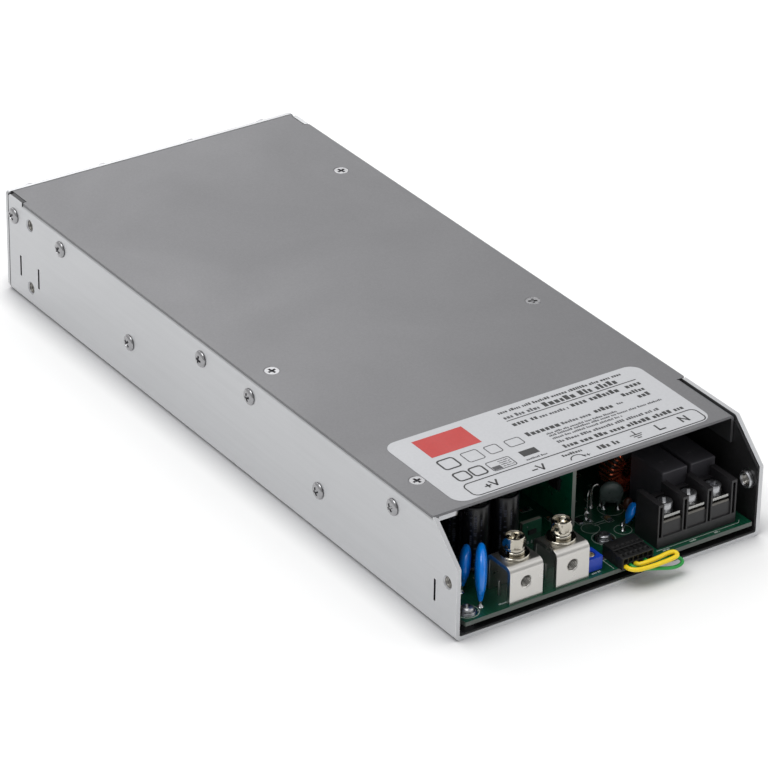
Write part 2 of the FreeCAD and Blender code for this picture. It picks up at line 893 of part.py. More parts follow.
def blade_section(radius, chord, angle):
    """Cambered blade section at a radius along +X; the plane of rotation is the XY plane."""
    tilt = math.radians(angle)
    along = Vec(0, math.cos(tilt), math.sin(tilt))
    across = Vec(0, -math.sin(tilt), math.cos(tilt))
    middle = Vec(radius, 0, 0)
    lead = middle - along * (chord / 2)
    trail = middle + along * (chord / 2)
    thick = across * blade_sheet
    crown = across * blade_camber
    return Part.Wire([
        Part.Arc(lead, middle + crown, trail).toShape(),
        Part.LineSegment(trail, trail + thick).toShape(),
        Part.Arc(trail + thick, middle + crown + thick, lead + thick).toShape(),
        Part.LineSegment(lead + thick, lead).toShape(),
    ])


def fan_rotor(x):
    """Cup, spindle and blades, made about +Z and aimed along +Y."""
    cup_open = fan_base + cup_gap
    cup_end = fan_depth - fan_base
    cup_in = fan_hub_r - cup_wall
    hub = turned([
        (0, fan_base / 2 + running_gap, 0),
        (spindle_r, fan_base / 2 + running_gap, 0),
        (spindle_r, cup_end - cup_wall, 0),
        (cup_in, cup_end - cup_wall, 0),
        (cup_in, cup_open, 0),
        (fan_hub_r, cup_open, 0),
        (fan_hub_r, cup_end, cup_wall),
        (0, cup_end, 0),
    ])
    tip = fan_bore_r - fan_tip_gap
    root = blade_section(cup_in + cup_wall / 2, blade_root_chord, blade_root_angle)
    end = blade_section(tip, blade_tip_chord, blade_tip_angle)
    blade = Part.makeLoft([root, end], True, True)
    blade.translate(Vec(0, 0, (cup_open + cup_end) / 2 - blade_camber / 2))
    sleeve = rod("z", tip, cup_open, cup_end, (0, 0)).cut(rod("z", cup_in, cup_open, cup_end, (0, 0)))
    blade = blade.common(sleeve)
    blades = []
    for i in range(fan_blades):
        copy = blade.copy()
        copy.rotate(Vec(0, 0, 0), AXES["z"], 360.0 * i / fan_blades)
        blades.append(copy)
    return aim(fuse([hub] + blades), "y", Vec(x, fan_front, fan_z))


# Boards
def main_pcb():
    sheet = box(board_left, board_right, board_front, board_rear, board_bottom, board_top)
    return sheet.cut([rod("z", board_hole_r, board_bottom - 1, board_top + 1, spot)
                      for spot in board_screw_spots()])


def control_board():
    front = y_front + control_board_front
    return box(control_board_x, control_board_x + small_board, front, front + control_board_length,
               board_top, cover_z - control_board_headroom)


def sense_board():
    front = y_front + sense_board_front
    return box(sense_board_left, sense_board_left + sense_board_width, front, front + small_board,
               board_top, board_top + sense_board_height)


# DC output
bracket_front = y_front + bracket_front_inset
bracket_top = board_top + bracket_height
output_screw_y = bracket_front + output_screw_inset


def output_bracket(middle):
    rear = bracket_front + bracket_depth
    outer_r = bracket_bend_r + bracket_sheet
    section = [
        (bracket_front, board_top, 0),
        (bracket_front, bracket_top, outer_r),
        (rear, bracket_top, outer_r),
        (rear, board_top, 0),
        (rear - bracket_sheet, board_top, 0),
        (rear - bracket_sheet, bracket_top - bracket_sheet, bracket_bend_r),
        (bracket_front + bracket_sheet, bracket_top - bracket_sheet, bracket_bend_r),
        (bracket_front + bracket_sheet, board_top, 0),
    ]
    strip = plate(section, "yz", middle - bracket_width / 2, middle + bracket_width / 2)
    tap_z = board_top + output_tap_height
    tap = rod("y", output_tap_r, bracket_front - 1, bracket_front + bracket_sheet + 1, (middle, tap_z))
    lead_in = Part.makeCone(output_tap_r + output_tap_lead_in, output_tap_r, output_tap_lead_in,
                            Vec(middle, bracket_front, tap_z), AXES["y"])
    hole = rod("z", output_hole_r, bracket_top - bracket_sheet - 1, bracket_top + 1, (middle, output_screw_y))
    return strip.cut([tap, lead_in, hole])


def ring(outer_r, low, high):
    return rod("z", outer_r, low, high, (0, 0)).cut(rod("z", washer_bore_r, low - 1, high + 1, (0, 0)))


def output_washers(middle):
    """Flat washer, split spring washer and collar washer, from the bracket upwards."""
    low = flat_washer + spring_washer
    spring = ring(spring_washer_r, flat_washer, low)
    split = box(0, spring_washer_r + 1, -spring_split / 2, spring_split / 2, flat_washer - 1, low + 1)
    stack = group([ring(flat_washer_r, 0, flat_washer), spring.cut(split), ring(collar_r, low, low + collar)])
    return aim(stack, "z", Vec(middle, output_screw_y, bracket_top + seat_gap))


def cross_recess(top):
    half = recess_span / 2
    width = recess_width / 2
    low = top - recess_depth
    return box(-half, half, -width, width, low, top + 1).fuse(box(-width, width, -half, half, low, top + 1))


def output_screw(middle):
    corners = []
    for i in range(6):
        angle = math.radians(60 * i)
        reach = output_hex / 2 / math.cos(math.radians(30))
        corners.append((reach * math.cos(angle), reach * math.sin(angle), 0))
    head = plate(corners, "xy", 0, output_head)
    crown = turned([
        (0, 0, 0),
        (output_hex, 0, 0),
        (output_hex / 2 - output_head / 10, output_head, 0),
        (0, output_head, 0),
    ])
    head = head.common(crown).cut(cross_recess(output_head))
    shank = rod("z", output_thread_r, -output_screw_length, 0, (0, 0))
    seat = bracket_top + flat_washer + spring_washer + collar + 2 * seat_gap
    return aim(fuse([head, shank]), "z", Vec(middle, output_screw_y, seat))


def sense_pins():
    pins = []
    for middle in bracket_middles:
        x = middle - bracket_width / 2 + sense_pin_inset
        pins.append(rod("z", sense_pin_r, board_top, board_top + sense_pin_height, (x, output_screw_y)))
    return group(pins)


# AC input
ac_front = y_front + ac_front_inset
ac_rear = ac_front + ac_depth
ac_right = ac_left + ac_width
ac_seat_z = board_top + ac_seat
ac_screw_y = ac_front + ac_screw_inset


def ac_terminal_block():
    top = board_top + ac_height
    section = [
        (ac_front, board_top, 0),
        (ac_front, board_top + ac_base, 0),
        (ac_front + ac_step, board_top + ac_base, 0),
        (ac_front + ac_step, ac_seat_z, 0),
        (ac_rear - ac_rear_wall, ac_seat_z, 0),
        (ac_rear - ac_rear_wall, board_top + ac_rear_height, 0),
        (ac_rear, board_top + ac_rear_height, 0),
        (ac_rear, board_top, 0),
    ]
    shapes = [plate(section, "yz", ac_left, ac_right)]
    cuts = []
    for i in range(ac_poles + 1):
        x0 = ac_left + i * ac_pitch
        shapes.append(box(x0, x0 + ac_barrier, ac_front, ac_rear, board_top, top))
        middle = x0 + ac_barrier / 2
        cuts.append(box(middle - ac_groove / 2, middle + ac_groove / 2,
                        ac_front - 1, ac_front + ac_groove_depth,
                        board_top + ac_base, top - ac_groove))
    for pole in range(ac_poles):
        cuts.append(rod("z", ac_lug_tube_r, board_top + 1, ac_seat_z + 1, (pole_x(pole), ac_screw_y)))
    return fuse(shapes).cut(cuts)


def ac_terminal_lugs():
    lugs = []
    half = (ac_pitch - ac_barrier) / 2 - ac_lug_margin
    for pole in range(ac_poles):
        x = pole_x(pole)
        seat = box(x - half, x + half, ac_front + ac_step, ac_rear - ac_rear_wall - ac_lug_margin,
                   ac_seat_z, ac_seat_z + ac_lug)
        sleeve = rod("z", ac_lug_tube_r, ac_seat_z - ac_lug_tube, ac_seat_z, (x, ac_screw_y))
        hole = rod("z", ac_hole_r, board_top, ac_seat_z + ac_lug + 1, (x, ac_screw_y))
        lugs.append(fuse([seat, sleeve]).cut(hole))
    return group(lugs)


def ac_clamp_plate(pole):
    """Square clamp plate with its front edge turned up."""
    x = pole_x(pole)
    half = (ac_pitch - ac_barrier) / 2 - ac_clamp_margin
    low = ac_seat_z + ac_lug + seat_gap
    high = low + ac_clamp
    front = ac_front + ac_clamp_front
    section = [
        (front, high + ac_clamp_lip, 0),
        (front, low + ac_clamp_lip, 0),
        (front + ac_clamp_lip, low, 0),
        (ac_rear - ac_clamp_rear, low, 0),
        (ac_rear - ac_clamp_rear, high, 0),
        (front + ac_clamp_lip, high, 0),
    ]
    sheet = plate(section, "yz", x - half, x + half)
    return sheet.cut(rod("z", ac_hole_r, low - 1, high + 1, (x, ac_screw_y)))


def ac_screw(pole):
    seat = ac_seat_z + ac_lug + ac_clamp + 2 * seat_gap
    body = turned([
        (0, -ac_screw_length, 0),
        (ac_screw_r, -ac_screw_length, 0),
        (ac_screw_r, 0, 0),
        (ac_head_r, 0, 0),
        (ac_head_r, ac_head, ac_head_dome),
        (0, ac_head, 0),
    ])
    return aim(body.cut(cross_recess(ac_head)), "z", Vec(pole_x(pole), ac_screw_y, seat))


# Signal connector
plug_front = y_front - plug_front_out
plug_rear = plug_front + plug_depth
plug_right = plug_left + plug_width


def signal_plug():
    low = board_top + plug_foot
    high = low + plug_height
    body = box(plug_left, plug_right, plug_front, plug_rear, low, high)
    cuts = []
    for column in range(plug_columns):
        x = column_x(column)
        for row in (plug_row_low, plug_row_high):
            z = board_top + row
            cuts.append(box(x - cavity / 2, x + cavity / 2, plug_front - 1, plug_front + cavity_depth,
                            z - cavity / 2, z + cavity / 2))
        cuts.append(box(x - latch_slot / 2, x + latch_slot / 2, plug_rear - latch_length, plug_rear,
                        high - latch_depth, high + 1))
    return body.cut(cuts)


def signal_header():
    """Shrouded header behind the plug, with windows along its top."""
    high = board_top + header_height
    body = box(plug_left, plug_right, plug_rear, plug_rear + header_depth, board_top, high)
    cuts = []
    for column in range(plug_columns):
        x = column_x(column)
        cuts.append(box(x - latch_slot / 2, x + latch_slot / 2,
                        plug_rear + header_wall, plug_rear + latch_length,
                        high - latch_depth, high + 1))
    return body.cut(cuts)


def cord(points, diameter, name):
    """A round cord along straight runs joined by tangent arcs; its radii are printed."""
    path = []
    radii = []
    start = points[0]
    for i in range(1, len(points) - 1):
        here = points[i]
        back = points[i - 1] - here
        ahead = points[i + 1] - here
        turn = math.pi - back.getAngle(ahead)
        reach = 0.45 * min(back.Length, ahead.Length)
        radius = reach / math.tan(turn / 2)
        back.normalize()
        ahead.normalize()
        inward = back + ahead
        inward.normalize()
        first = here + back * reach
        last = here + ahead * reach
        middle = here + inward * (radius / math.cos(turn / 2) - radius)
        path.append(Part.LineSegment(start, first).toShape())
        path.append(Part.Arc(first, middle, last).toShape())
        radii.append(radius)
        start = last
    path.append(Part.LineSegment(start, points[-1]).toShape())
    line = Part.Wire(path)
    section = Part.Wire(Part.makeCircle(diameter / 2, points[0], points[1] - points[0]))
    tube = line.makePipeShell([section], True, False, 2)
    ideal = math.pi * diameter ** 2 / 4 * line.Length
    rounded = ", ".join("%.1f" % radius for radius in radii)
    print("%s: length %.1f, volume %.1f of %.1f, radii %s" % (name, line.Length, tube.Volume, ideal, rounded))
    return tube


def jumper_wire_yellow():
    row = board_top + plug_row_low
    first = column_x(yellow_columns[0])
    last = column_x(yellow_columns[1])
    seat = plug_front + cavity_depth
    points = [
        Vec(first, seat, row),
        Vec(first, plug_front - 1.0, row),
        Vec(first + 0.7, plug_front - 2.6, row),
        Vec(first + 2.5, plug_front - 3.9, row),
        Vec(first + 5.4, plug_front - 4.3, row),
        Vec(first + 8.6, plug_front - 4.4, row - 0.1),
        Vec(first + 11.8, plug_front - 4.4, row - 0.1),
        Vec(first + 15.0, plug_front - 4.4, row),
        Vec(first + 18.4, plug_front - 4.3, row + 0.3),
        Vec(first + 19.2, plug_front - 3.2, row + 0.7),
        Vec(first + 18.4, plug_front - 2.1, row + 1.1),
        Vec(first + 15.6, plug_front - 2.1, row + 1.2),
        Vec(first + 12.0, plug_front - 2.4, row + 0.9),
        Vec(first + 8.6, plug_front - 2.4, row + 0.8),
        Vec(last + 1.6, plug_front - 2.2, row + 0.6),
        Vec(last, plug_front - 1.0, row),
        Vec(last, seat, row),
    ]
    return cord(points, yellow_diameter, "jumper_wire_yellow")


def jumper_wire_green():
    row = board_top + plug_row_low
    first = column_x(green_columns[0])
    last = column_x(green_columns[1])
    seat = plug_front + cavity_depth
    points = [
        Vec(first, seat, row),
        Vec(first, plug_front - 1.0, row),
        Vec(first + 1.0, plug_front - 2.1, row - 0.8),
        Vec(first + 3.3, plug_front - 2.9, row - 1.3),
        Vec(first + 6.0, plug_front - 3.4, row - 1.6),
        Vec(first + 9.8, plug_front - 4.4, row - 2.2),
        Vec(first + 12.7, plug_front - 4.9, row - 2.9),
        Vec(first + 16.0, plug_front - 4.9, row - 3.4),
        Vec(first + 18.3, plug_front - 4.7, row - 3.1),
        Vec(first + 19.0, plug_front - 4.0, row - 2.3),
        Vec(first + 18.3, plug_front - 3.1, row - 1.5),
        Vec(first + 16.4, plug_front - 2.1, row - 1.0),
        Vec(first + 12.0, plug_front - 1.9, row - 0.7),
        Vec(last + 1.7, plug_front - 1.6, row - 0.5),
        Vec(last, plug_front - 1.0, row),
        Vec(last, seat, row),
    ]
    return cord(points, green_diameter, "jumper_wire_green")


# Trimmer
trimmer_front = y_front + trimmer_front_inset
trimmer_top = board_top + trimmer_foot + trimmer_height
adjuster_spot = (trimmer_left + trimmer_width / 2, trimmer_front + trimmer_depth / 2)


def trimmer_body():
    face = rect(trimmer_left, trimmer_left + trimmer_width, trimmer_front, trimmer_front + trimmer_depth,
                trimmer_edge_r)
    body = plate(face, "xy", board_top + trimmer_foot, trimmer_top)
    feet = []
    for sx in (0, 1):
        for sy in (0, 1):
            x = trimmer_left + adjuster_slot + sx * (trimmer_width - 2 * adjuster_slot)
            y = trimmer_front + adjuster_slot + sy * (trimmer_depth - 2 * adjuster_slot)
            feet.append(rod("z", adjuster_slot / 2, board_top, board_top + trimmer_foot, (x, y)))
    body = fuse([body] + feet)
    return body.cut(rod("z", adjuster_well_r, trimmer_top - adjuster_well, trimmer_top + 1, adjuster_spot))


def trimmer_adjuster():
    low = trimmer_top - adjuster_well + seat_gap
    high = low + adjuster_height
    x, y = adjuster_spot
    screw = rod("z", adjuster_r, low, high, adjuster_spot)
    slot = box(x - adjuster_r, x + adjuster_r, y - adjuster_slot / 2, y + adjuster_slot / 2,
               high - adjuster_slot_depth, high + 1)
    return screw.cut(slot)


# Leaded components
def dipped_disc(sizes, x, front, turn, lean=0.0):
    """A coated disc on two leads, its plane turned from +X by an angle and leaning over to one side."""
    diameter, thick, pitch, lift, lead_r = sizes
    radius = diameter / 2
    half = thick / 2
    lens = turned([
        (0, -half, 0),
        (radius, -half, disc_edge_share * thick),
        (radius, half, disc_edge_share * thick),
        (0, half, 0),
    ])
    centre = lift + radius
    disc = aim(lens, "y", Vec(0, 0, centre))
    shapes = [disc]
    for side in (-1, 1):
        lead_x = side * pitch / 2
        drop = centre - math.sqrt(radius ** 2 - (pitch / 2) ** 2)
        shapes.append(Part.makeCone(lead_r * 1.6, half * 0.8, disc_skirt,
                                    Vec(lead_x, 0, drop - disc_skirt / 2), AXES["z"]))
        shapes.append(rod("z", lead_r, -lift, drop, (lead_x, 0)))
    body = fuse(shapes)
    body.rotate(Vec(0, 0, 0), AXES["x"], lean)
    body = body.cut(box(-diameter, diameter, -diameter, diameter, -diameter, 0))
    body.rotate(Vec(0, 0, 0), AXES["z"], turn)
    body.translate(Vec(x, y_front + front, board_top))
    return body


def can(radius, height):
    """A standing electrolytic can with the rolled groove above its base."""
    low = can_groove_height
    return turned([
        (0, 0, 0),
        (radius, 0, 0),
        (radius, low, 0),
        (radius - can_groove, low + can_groove, 0),
        (radius, low + 2 * can_groove, 0),
        (radius, height, -can_bevel),
        (0, height, 0),
    ])


def output_capacitors():
    body = can(output_can_r, output_can_height)
    cans = []
    for row in range(output_can_rows):
        y = y_front + output_can_front + row * output_can_pitch
        cans.append(aim(body, "z", Vec(output_can_x, y, board_top)))
        cans.append(aim(body, "z", Vec(output_can_x + output_can_pitch, y, board_top)))
    return group(cans)


def bulk_capacitors():
    body = can(bulk_can_r, cover_z - board_top - bulk_can_headroom)
    x = -x_in + bulk_can_wall_gap
    rear = board_rear - bulk_can_rear
    return group([aim(body, "z", Vec(x, rear - i * bulk_can_pitch, board_top))
                  for i in range(bulk_can_count)])


def film_capacitors():
    bodies = []
    front = y_front + film_cap_front
    for i in range(2):
        x0 = film_cap_left + i * (film_cap_width + film_cap_gap)
        face = rect(x0, x0 + film_cap_width, front, front + film_cap_depth, film_cap_edge_r)
        bodies.append(plate(face, "xy", board_top, board_top + film_cap_height))
    return group(bodies)


# Wound components
def toroid_core(outer_r, inner_r, height):
    return turned([
        (inner_r, 0, -core_bevel),
        (outer_r, 0, -core_bevel),
        (outer_r, height, -core_bevel),
        (inner_r, height, -core_bevel),
    ])


def toroid_winding(outer_r, inner_r, height):
    """Outer form of a winding that wraps the core, with a bare stretch."""
    sweep = 360 - winding_gap
    section = rect(inner_r - winding, outer_r + winding, -winding, height + winding, -winding)
    band = Part.Face(outline(section, "xz", 0.0)).revolve(Vec(0, 0, 0), AXES["z"], sweep)
    band.rotate(Vec(0, 0, 0), AXES["z"], -90 + winding_gap / 2)
    return band.cut(toroid_core(outer_r, inner_r, height))


def filter_choke_piece(maker):
    """Core or winding of the choke that stands on its rim behind the film capacitors."""
    x = film_cap_left + filter_choke_at[0]
    y = film_cap_rear + filter_choke_at[1] + winding
    return aim(maker(*filter_choke), "y", Vec(x, y, board_top + filter_choke[0] + winding))


def pfc_choke_piece(maker):
    """Core or winding of the choke that lies on the board in the rear half."""
    place = Vec(x_in - pfc_choke_at[0], board_rear - pfc_choke_at[1], board_top + winding)
    return aim(maker(*pfc_choke), "z", place)


def output_choke_body():
    body = fuse([toroid_core(*output_choke), toroid_winding(*output_choke)])
    place = Vec(-x_in + output_choke_at[0], y_front + output_choke_at[1], board_top + winding)
    return aim(body, "z", place)


transformer_x = -x_in + transformer_at[0]
transformer_y = y_front + transformer_at[1]
core_top = cover_z - core_headroom


def transformer_core():
    low = board_top
    high = core_top
    x0 = transformer_x - core_width / 2
    x1 = transformer_x + core_width / 2
    y0 = transformer_y - core_depth / 2
    y1 = transformer_y + core_depth / 2
    block = box(x0, x1, y0, y1, low, high)
    windows = []
    for side in (-1, 1):
        near = transformer_x + side * core_leg
        far = transformer_x + side * (core_width / 2 - core_leg)
        a, b = sorted((near, far))
        windows.append(box(a, b, y0 - 1, y1 + 1, low + core_yoke, high - core_yoke))
    return block.cut(windows)


def transformer_coil():
    """Coil on the middle leg of the core, with its bobbin feet on the board."""
    low = board_top + core_yoke + coil_gap
    high = core_top - core_yoke - coil_gap
    out_x = core_width / 2 - core_leg - coil_gap
    out_y = core_depth / 2 + coil_out
    in_x = core_leg + coil_gap
    in_y = core_depth / 2 + coil_gap
    outer = rect(transformer_x - out_x, transformer_x + out_x, transformer_y - out_y, transformer_y + out_y,
                 core_leg / 2)
    inner = rect(transformer_x - in_x, transformer_x + in_x, transformer_y - in_y, transformer_y + in_y)
    coil = plate(outer, "xy", low, high).cut(plate(inner, "xy", low - 1, high + 1))
    feet = []
    for side in (-1, 1):
        y0, y1 = sorted((transformer_y + side * (in_y + coil_gap), transformer_y + side * (out_y - coil_gap)))
        feet.append(box(transformer_x - core_leg, transformer_x + core_leg, y0, y1, board_top, low))
    return fuse([coil] + feet)


def line_fuse():
    """Glass fuse in two spring clips that stand on the board."""
    fuse_x = x_in - fuse_at[0]
    fuse_y = y_front + fuse_at[1]
    z = board_top + fuse_height
    half = fuse_length / 2
    glass = rod("y", fuse_r - clip_sheet / 2, fuse_y - half, fuse_y + half, (fuse_x, z))
    shapes = [glass]
    for side in (-1, 1):
        y0, y1 = sorted((fuse_y + side * half, fuse_y + side * (half - fuse_cap)))
        shapes.append(rod("y", fuse_r, y0, y1, (fuse_x, z)))
        middle = (y0 + y1) / 2
        for edge in (-1, 1):
            x0, x1 = sorted((fuse_x + edge * (fuse_r - clip_sheet / 2),
                             fuse_x + edge * (fuse_r + clip_sheet)))
            shapes.append(box(x0, x1, middle - clip_width / 2, middle + clip_width / 2,
                              board_top, z + fuse_r / 2))
    return fuse(shapes)


# Heat bars and power packages
def heat_bar(side, front):
    x0, x1 = span(side, x_in - bar_sheet, x_in)
    start = y_front + front
    end = fan_front - bar_rear_gap
    bar = box(x0, x1, start, end, bar_low, bar_high)
    cuts = []
    for screw_side, y, z in side_screw_spots():
        if screw_side == side and start < y < end:
            cuts.append(rod("x", m3_tap_r, x0 - 1, x1 + 1, (y, z)))
    return bar.cut(cuts)


def power_package(side, y, width, height, depth, leads, pitch):
    """A flat package on a heat bar, its leads down to the board."""
    near = x_in - bar_sheet
    x0, x1 = span(side, near - depth, near)
    shapes = [box(x0, x1, y - width / 2, y + width / 2, package_low, package_low + height)]
    middle = side * (near - depth / 2)
    for i in range(leads):
        lead_y = y + (i - (leads - 1) / 2) * pitch
        shapes.append(box(middle - package_lead / 4, middle + package_lead / 4, lead_y - package_lead / 2,
                          lead_y + package_lead / 2, board_top, package_low))
    return fuse(shapes)


def power_transistors():
    spots = [(-1, y_front + left_bar_front + along) for along in left_packages]
    spots += [(1, y_front + right_bar_front + along) for along in right_packages]
    spots.append((1, board_rear - right_package_rear))
    packages = []
    for side, y in spots:
        packages.append(power_package(side, y, package_width, package_height, package,
                                      package_lead_count, package_lead_pitch))
    return group(packages)


def bridge_rectifier():
    return power_package(1, board_rear - bridge_rear, bridge_width, bridge_height, bridge_depth,
                         bridge_lead_count, bridge_lead_pitch)


POLES = ["earth", "live", "neutral"]
OUTPUTS = ["positive", "negative"]
SIDES = ["left", "right"]

nodes = {
    "chassis": chassis(),
    "cover": cover(),
    "rear_panel": rear_panel(),
    "insulation_film": insulation_film(),
    "label": label(),
    "clinch_nuts": clinch_nuts(),
    "pcb_standoffs": pcb_standoffs(),
    "side_screws": side_screws(),
    "cover_screws": cover_screws(),
    "pcb_screws": pcb_screws(),
    "fan_screws": fan_screws(),
    "main_pcb": main_pcb(),
    "control_board": control_board(),
    "sense_board": sense_board(),
    "sense_pins": sense_pins(),
    "ac_terminal_block": ac_terminal_block(),
    "ac_terminal_lugs": ac_terminal_lugs(),
    "signal_header": signal_header(),
    "signal_plug": signal_plug(),
    "jumper_wire_yellow": jumper_wire_yellow(),
    "jumper_wire_green": jumper_wire_green(),
    "trimmer_body": trimmer_body(),
    "trimmer_adjuster": trimmer_adjuster(),
    "surge_disc_large": dipped_disc(large_disc, -x_in + large_disc_at[0], large_disc_at[1], disc_turn),
    "surge_disc_small": dipped_disc(small_disc, -x_in + small_disc_at[0], small_disc_at[1], disc_turn,
                                    small_disc_lean),
    "blue_capacitor": dipped_disc(blue_disc, ac_left - blue_disc_at[0], blue_disc_at[1], disc_turn,
                                  blue_disc_lean),
    "inrush_thermistor": dipped_disc(thermistor_disc, film_cap_left - thermistor_at[0], thermistor_at[1],
                                     thermistor_turn),
    "output_capacitors": output_capacitors(),
    "bulk_capacitors": bulk_capacitors(),
    "film_capacitors": film_capacitors(),
    "line_fuse": line_fuse(),
    "filter_choke_core": filter_choke_piece(toroid_core),
    "filter_choke_winding": filter_choke_piece(toroid_winding),
    "pfc_choke_core": pfc_choke_piece(toroid_core),
    "pfc_choke_winding": pfc_choke_piece(toroid_winding),
    "output_choke": output_choke_body(),
    "transformer_core": transformer_core(),
    "transformer_coil": transformer_coil(),
    "bridge_rectifier": bridge_rectifier(),
    "power_transistors": power_transistors(),
    "heat_bar_left": heat_bar(-1, left_bar_front),
    "heat_bar_right": heat_bar(1, right_bar_front),
}
for name, middle in zip(OUTPUTS, bracket_middles):
    nodes["output_bracket_" + name] = output_bracket(middle)
    nodes["output_washers_" + name] = output_washers(middle)
    nodes["output_screw_" + name] = output_screw(middle)
for pole, name in enumerate(POLES):
    nodes["ac_clamp_" + name] = ac_clamp_plate(pole)
    nodes["ac_screw_" + name] = ac_screw(pole)
for name, x in zip(SIDES, fan_xs):
    nodes["fan_frame_" + name] = fan_frame(x)
    nodes["fan_rotor_" + name] = fan_rotor(x)

os.makedirs("parts", exist_ok=True)
for name, shape in nodes.items():
    shape.exportStep("parts/" + name + ".step")
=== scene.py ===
"""Looks of an enclosed switching power supply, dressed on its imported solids.

The scene is in metres with +Z up. Shapes are drawn in millimetres and scaled where they are put.
"""
import json
import math
import random

import bmesh
import bpy
from mathutils import Matrix, Vector

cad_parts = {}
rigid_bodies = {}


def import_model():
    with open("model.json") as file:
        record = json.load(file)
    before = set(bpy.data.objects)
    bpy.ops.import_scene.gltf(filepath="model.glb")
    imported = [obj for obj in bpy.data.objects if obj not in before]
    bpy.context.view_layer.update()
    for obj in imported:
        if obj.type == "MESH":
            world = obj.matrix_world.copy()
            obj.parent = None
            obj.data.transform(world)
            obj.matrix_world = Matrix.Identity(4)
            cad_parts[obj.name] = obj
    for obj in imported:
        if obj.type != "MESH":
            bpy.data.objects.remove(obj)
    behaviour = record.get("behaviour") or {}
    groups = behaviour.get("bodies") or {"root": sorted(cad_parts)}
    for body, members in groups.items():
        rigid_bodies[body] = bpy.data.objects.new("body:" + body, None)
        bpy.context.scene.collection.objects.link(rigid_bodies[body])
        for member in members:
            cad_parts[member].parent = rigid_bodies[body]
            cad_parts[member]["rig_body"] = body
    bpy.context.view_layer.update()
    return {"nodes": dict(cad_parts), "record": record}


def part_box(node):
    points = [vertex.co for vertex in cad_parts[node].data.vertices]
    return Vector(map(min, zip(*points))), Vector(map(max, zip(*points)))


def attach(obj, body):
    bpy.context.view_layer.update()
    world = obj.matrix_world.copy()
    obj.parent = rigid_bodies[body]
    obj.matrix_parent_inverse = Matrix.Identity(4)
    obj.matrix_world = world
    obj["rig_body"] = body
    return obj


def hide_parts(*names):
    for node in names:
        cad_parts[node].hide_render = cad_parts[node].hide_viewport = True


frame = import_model()

MM = 0.001
CASE = "supply"
RIGHT = Vector((1, 0, 0))
REAR = Vector((0, 1, 0))
UP = Vector((0, 0, 1))
HERE = Matrix()
OUTPUTS = ["positive", "negative"]
POLES = ["earth", "live", "neutral"]
scene = bpy.context.scene
random.seed(41)


# Camera and cords
camera_target = Vector((-5.984, -19.988, 20.0)) * MM
camera_distance = 1535.35 * MM
camera_azimuth = math.radians(-34.549)
camera_elevation = math.radians(29.170)
camera_roll = math.radians(1.018)
sensor = 36.0
lens = 203.25


def set_camera():
    """The camera looks at its target from the azimuth and elevation above, turned by its roll."""
    back = Vector((
        math.sin(camera_azimuth) * math.cos(camera_elevation),
        -math.cos(camera_azimuth) * math.cos(camera_elevation),
        math.sin(camera_elevation),
    ))
    level = UP.cross(back).normalized()
    rise = back.cross(level)
    right = level * math.cos(camera_roll) + rise * math.sin(camera_roll)
    up = rise * math.cos(camera_roll) - level * math.sin(camera_roll)
    data = bpy.data.cameras.new("viewpoint")
    data.lens = lens
    data.sensor_width = sensor
    data.clip_start = 0.05
    camera = bpy.data.objects.new("viewpoint", data)
    spot = camera_target + back * camera_distance
    camera.matrix_world = Matrix((
        (right.x, up.x, back.x, spot.x),
        (right.y, up.y, back.y, spot.y),
        (right.z, up.z, back.z, spot.z),
        (0, 0, 0, 1),
    ))
    scene.collection.objects.link(camera)
    scene.camera = camera


set_camera()

yellow_route = [
    (0.004825, -0.1477, 0.0074), (0.004825, -0.1501, 0.0074), (0.005525, -0.1517, 0.0074),
    (0.007325, -0.1530, 0.0074), (0.010225, -0.1534, 0.0074), (0.013425, -0.1535, 0.0073),
    (0.016625, -0.1535, 0.0073), (0.019825, -0.1535, 0.0074), (0.023225, -0.1534, 0.0077),
    (0.024025, -0.1523, 0.0081), (0.023225, -0.1512, 0.0085), (0.020425, -0.1512, 0.0086),
    (0.016825, -0.1515, 0.0083), (0.013425, -0.1515, 0.0082), (0.010525, -0.1513, 0.0080),
    (0.008925, -0.1501, 0.0074), (0.008925, -0.1477, 0.0074),
]
green_route = [
    (0.006875, -0.1477, 0.0074), (0.006875, -0.1501, 0.0074), (0.007875, -0.1512, 0.0066),
    (0.010175, -0.1520, 0.0061), (0.012875, -0.1525, 0.0058), (0.016675, -0.1535, 0.0052),
    (0.019575, -0.1540, 0.0045), (0.022875, -0.1540, 0.0040), (0.025175, -0.1538, 0.0043),
    (0.025875, -0.1531, 0.0051), (0.025175, -0.1522, 0.0059), (0.023275, -0.1512, 0.0064),
    (0.018875, -0.1510, 0.0067), (0.014725, -0.1507, 0.0069), (0.013025, -0.1501, 0.0074),
    (0.013025, -0.1477, 0.0074),
]


def jumper(colour, route, diameter):
    """A jumper wire along its route; the curve's depth of 1 is scaled by each point's radius."""
    curve = bpy.data.curves.new("jumper_" + colour, "CURVE")
    curve.dimensions = "3D"
    curve.bevel_depth = 1.0
    curve.bevel_resolution = 5
    curve.resolution_u = 10
    curve.use_fill_caps = True
    spline = curve.splines.new("NURBS")
    spline.points.add(len(route) - 1)
    for point, place in zip(spline.points, route):
        point.co = (*place, 1)
        point.radius = diameter / 2
    spline.order_u = 3
    spline.use_endpoint_u = True
    wire = bpy.data.objects.new("jumper_" + colour, curve)
    scene.collection.objects.link(wire)
    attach(wire, CASE)
    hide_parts("jumper_wire_" + colour)
    return wire


yellow_wire = jumper("yellow", yellow_route, 1.6 * MM)
green_wire = jumper("green", green_route, 1.3 * MM)


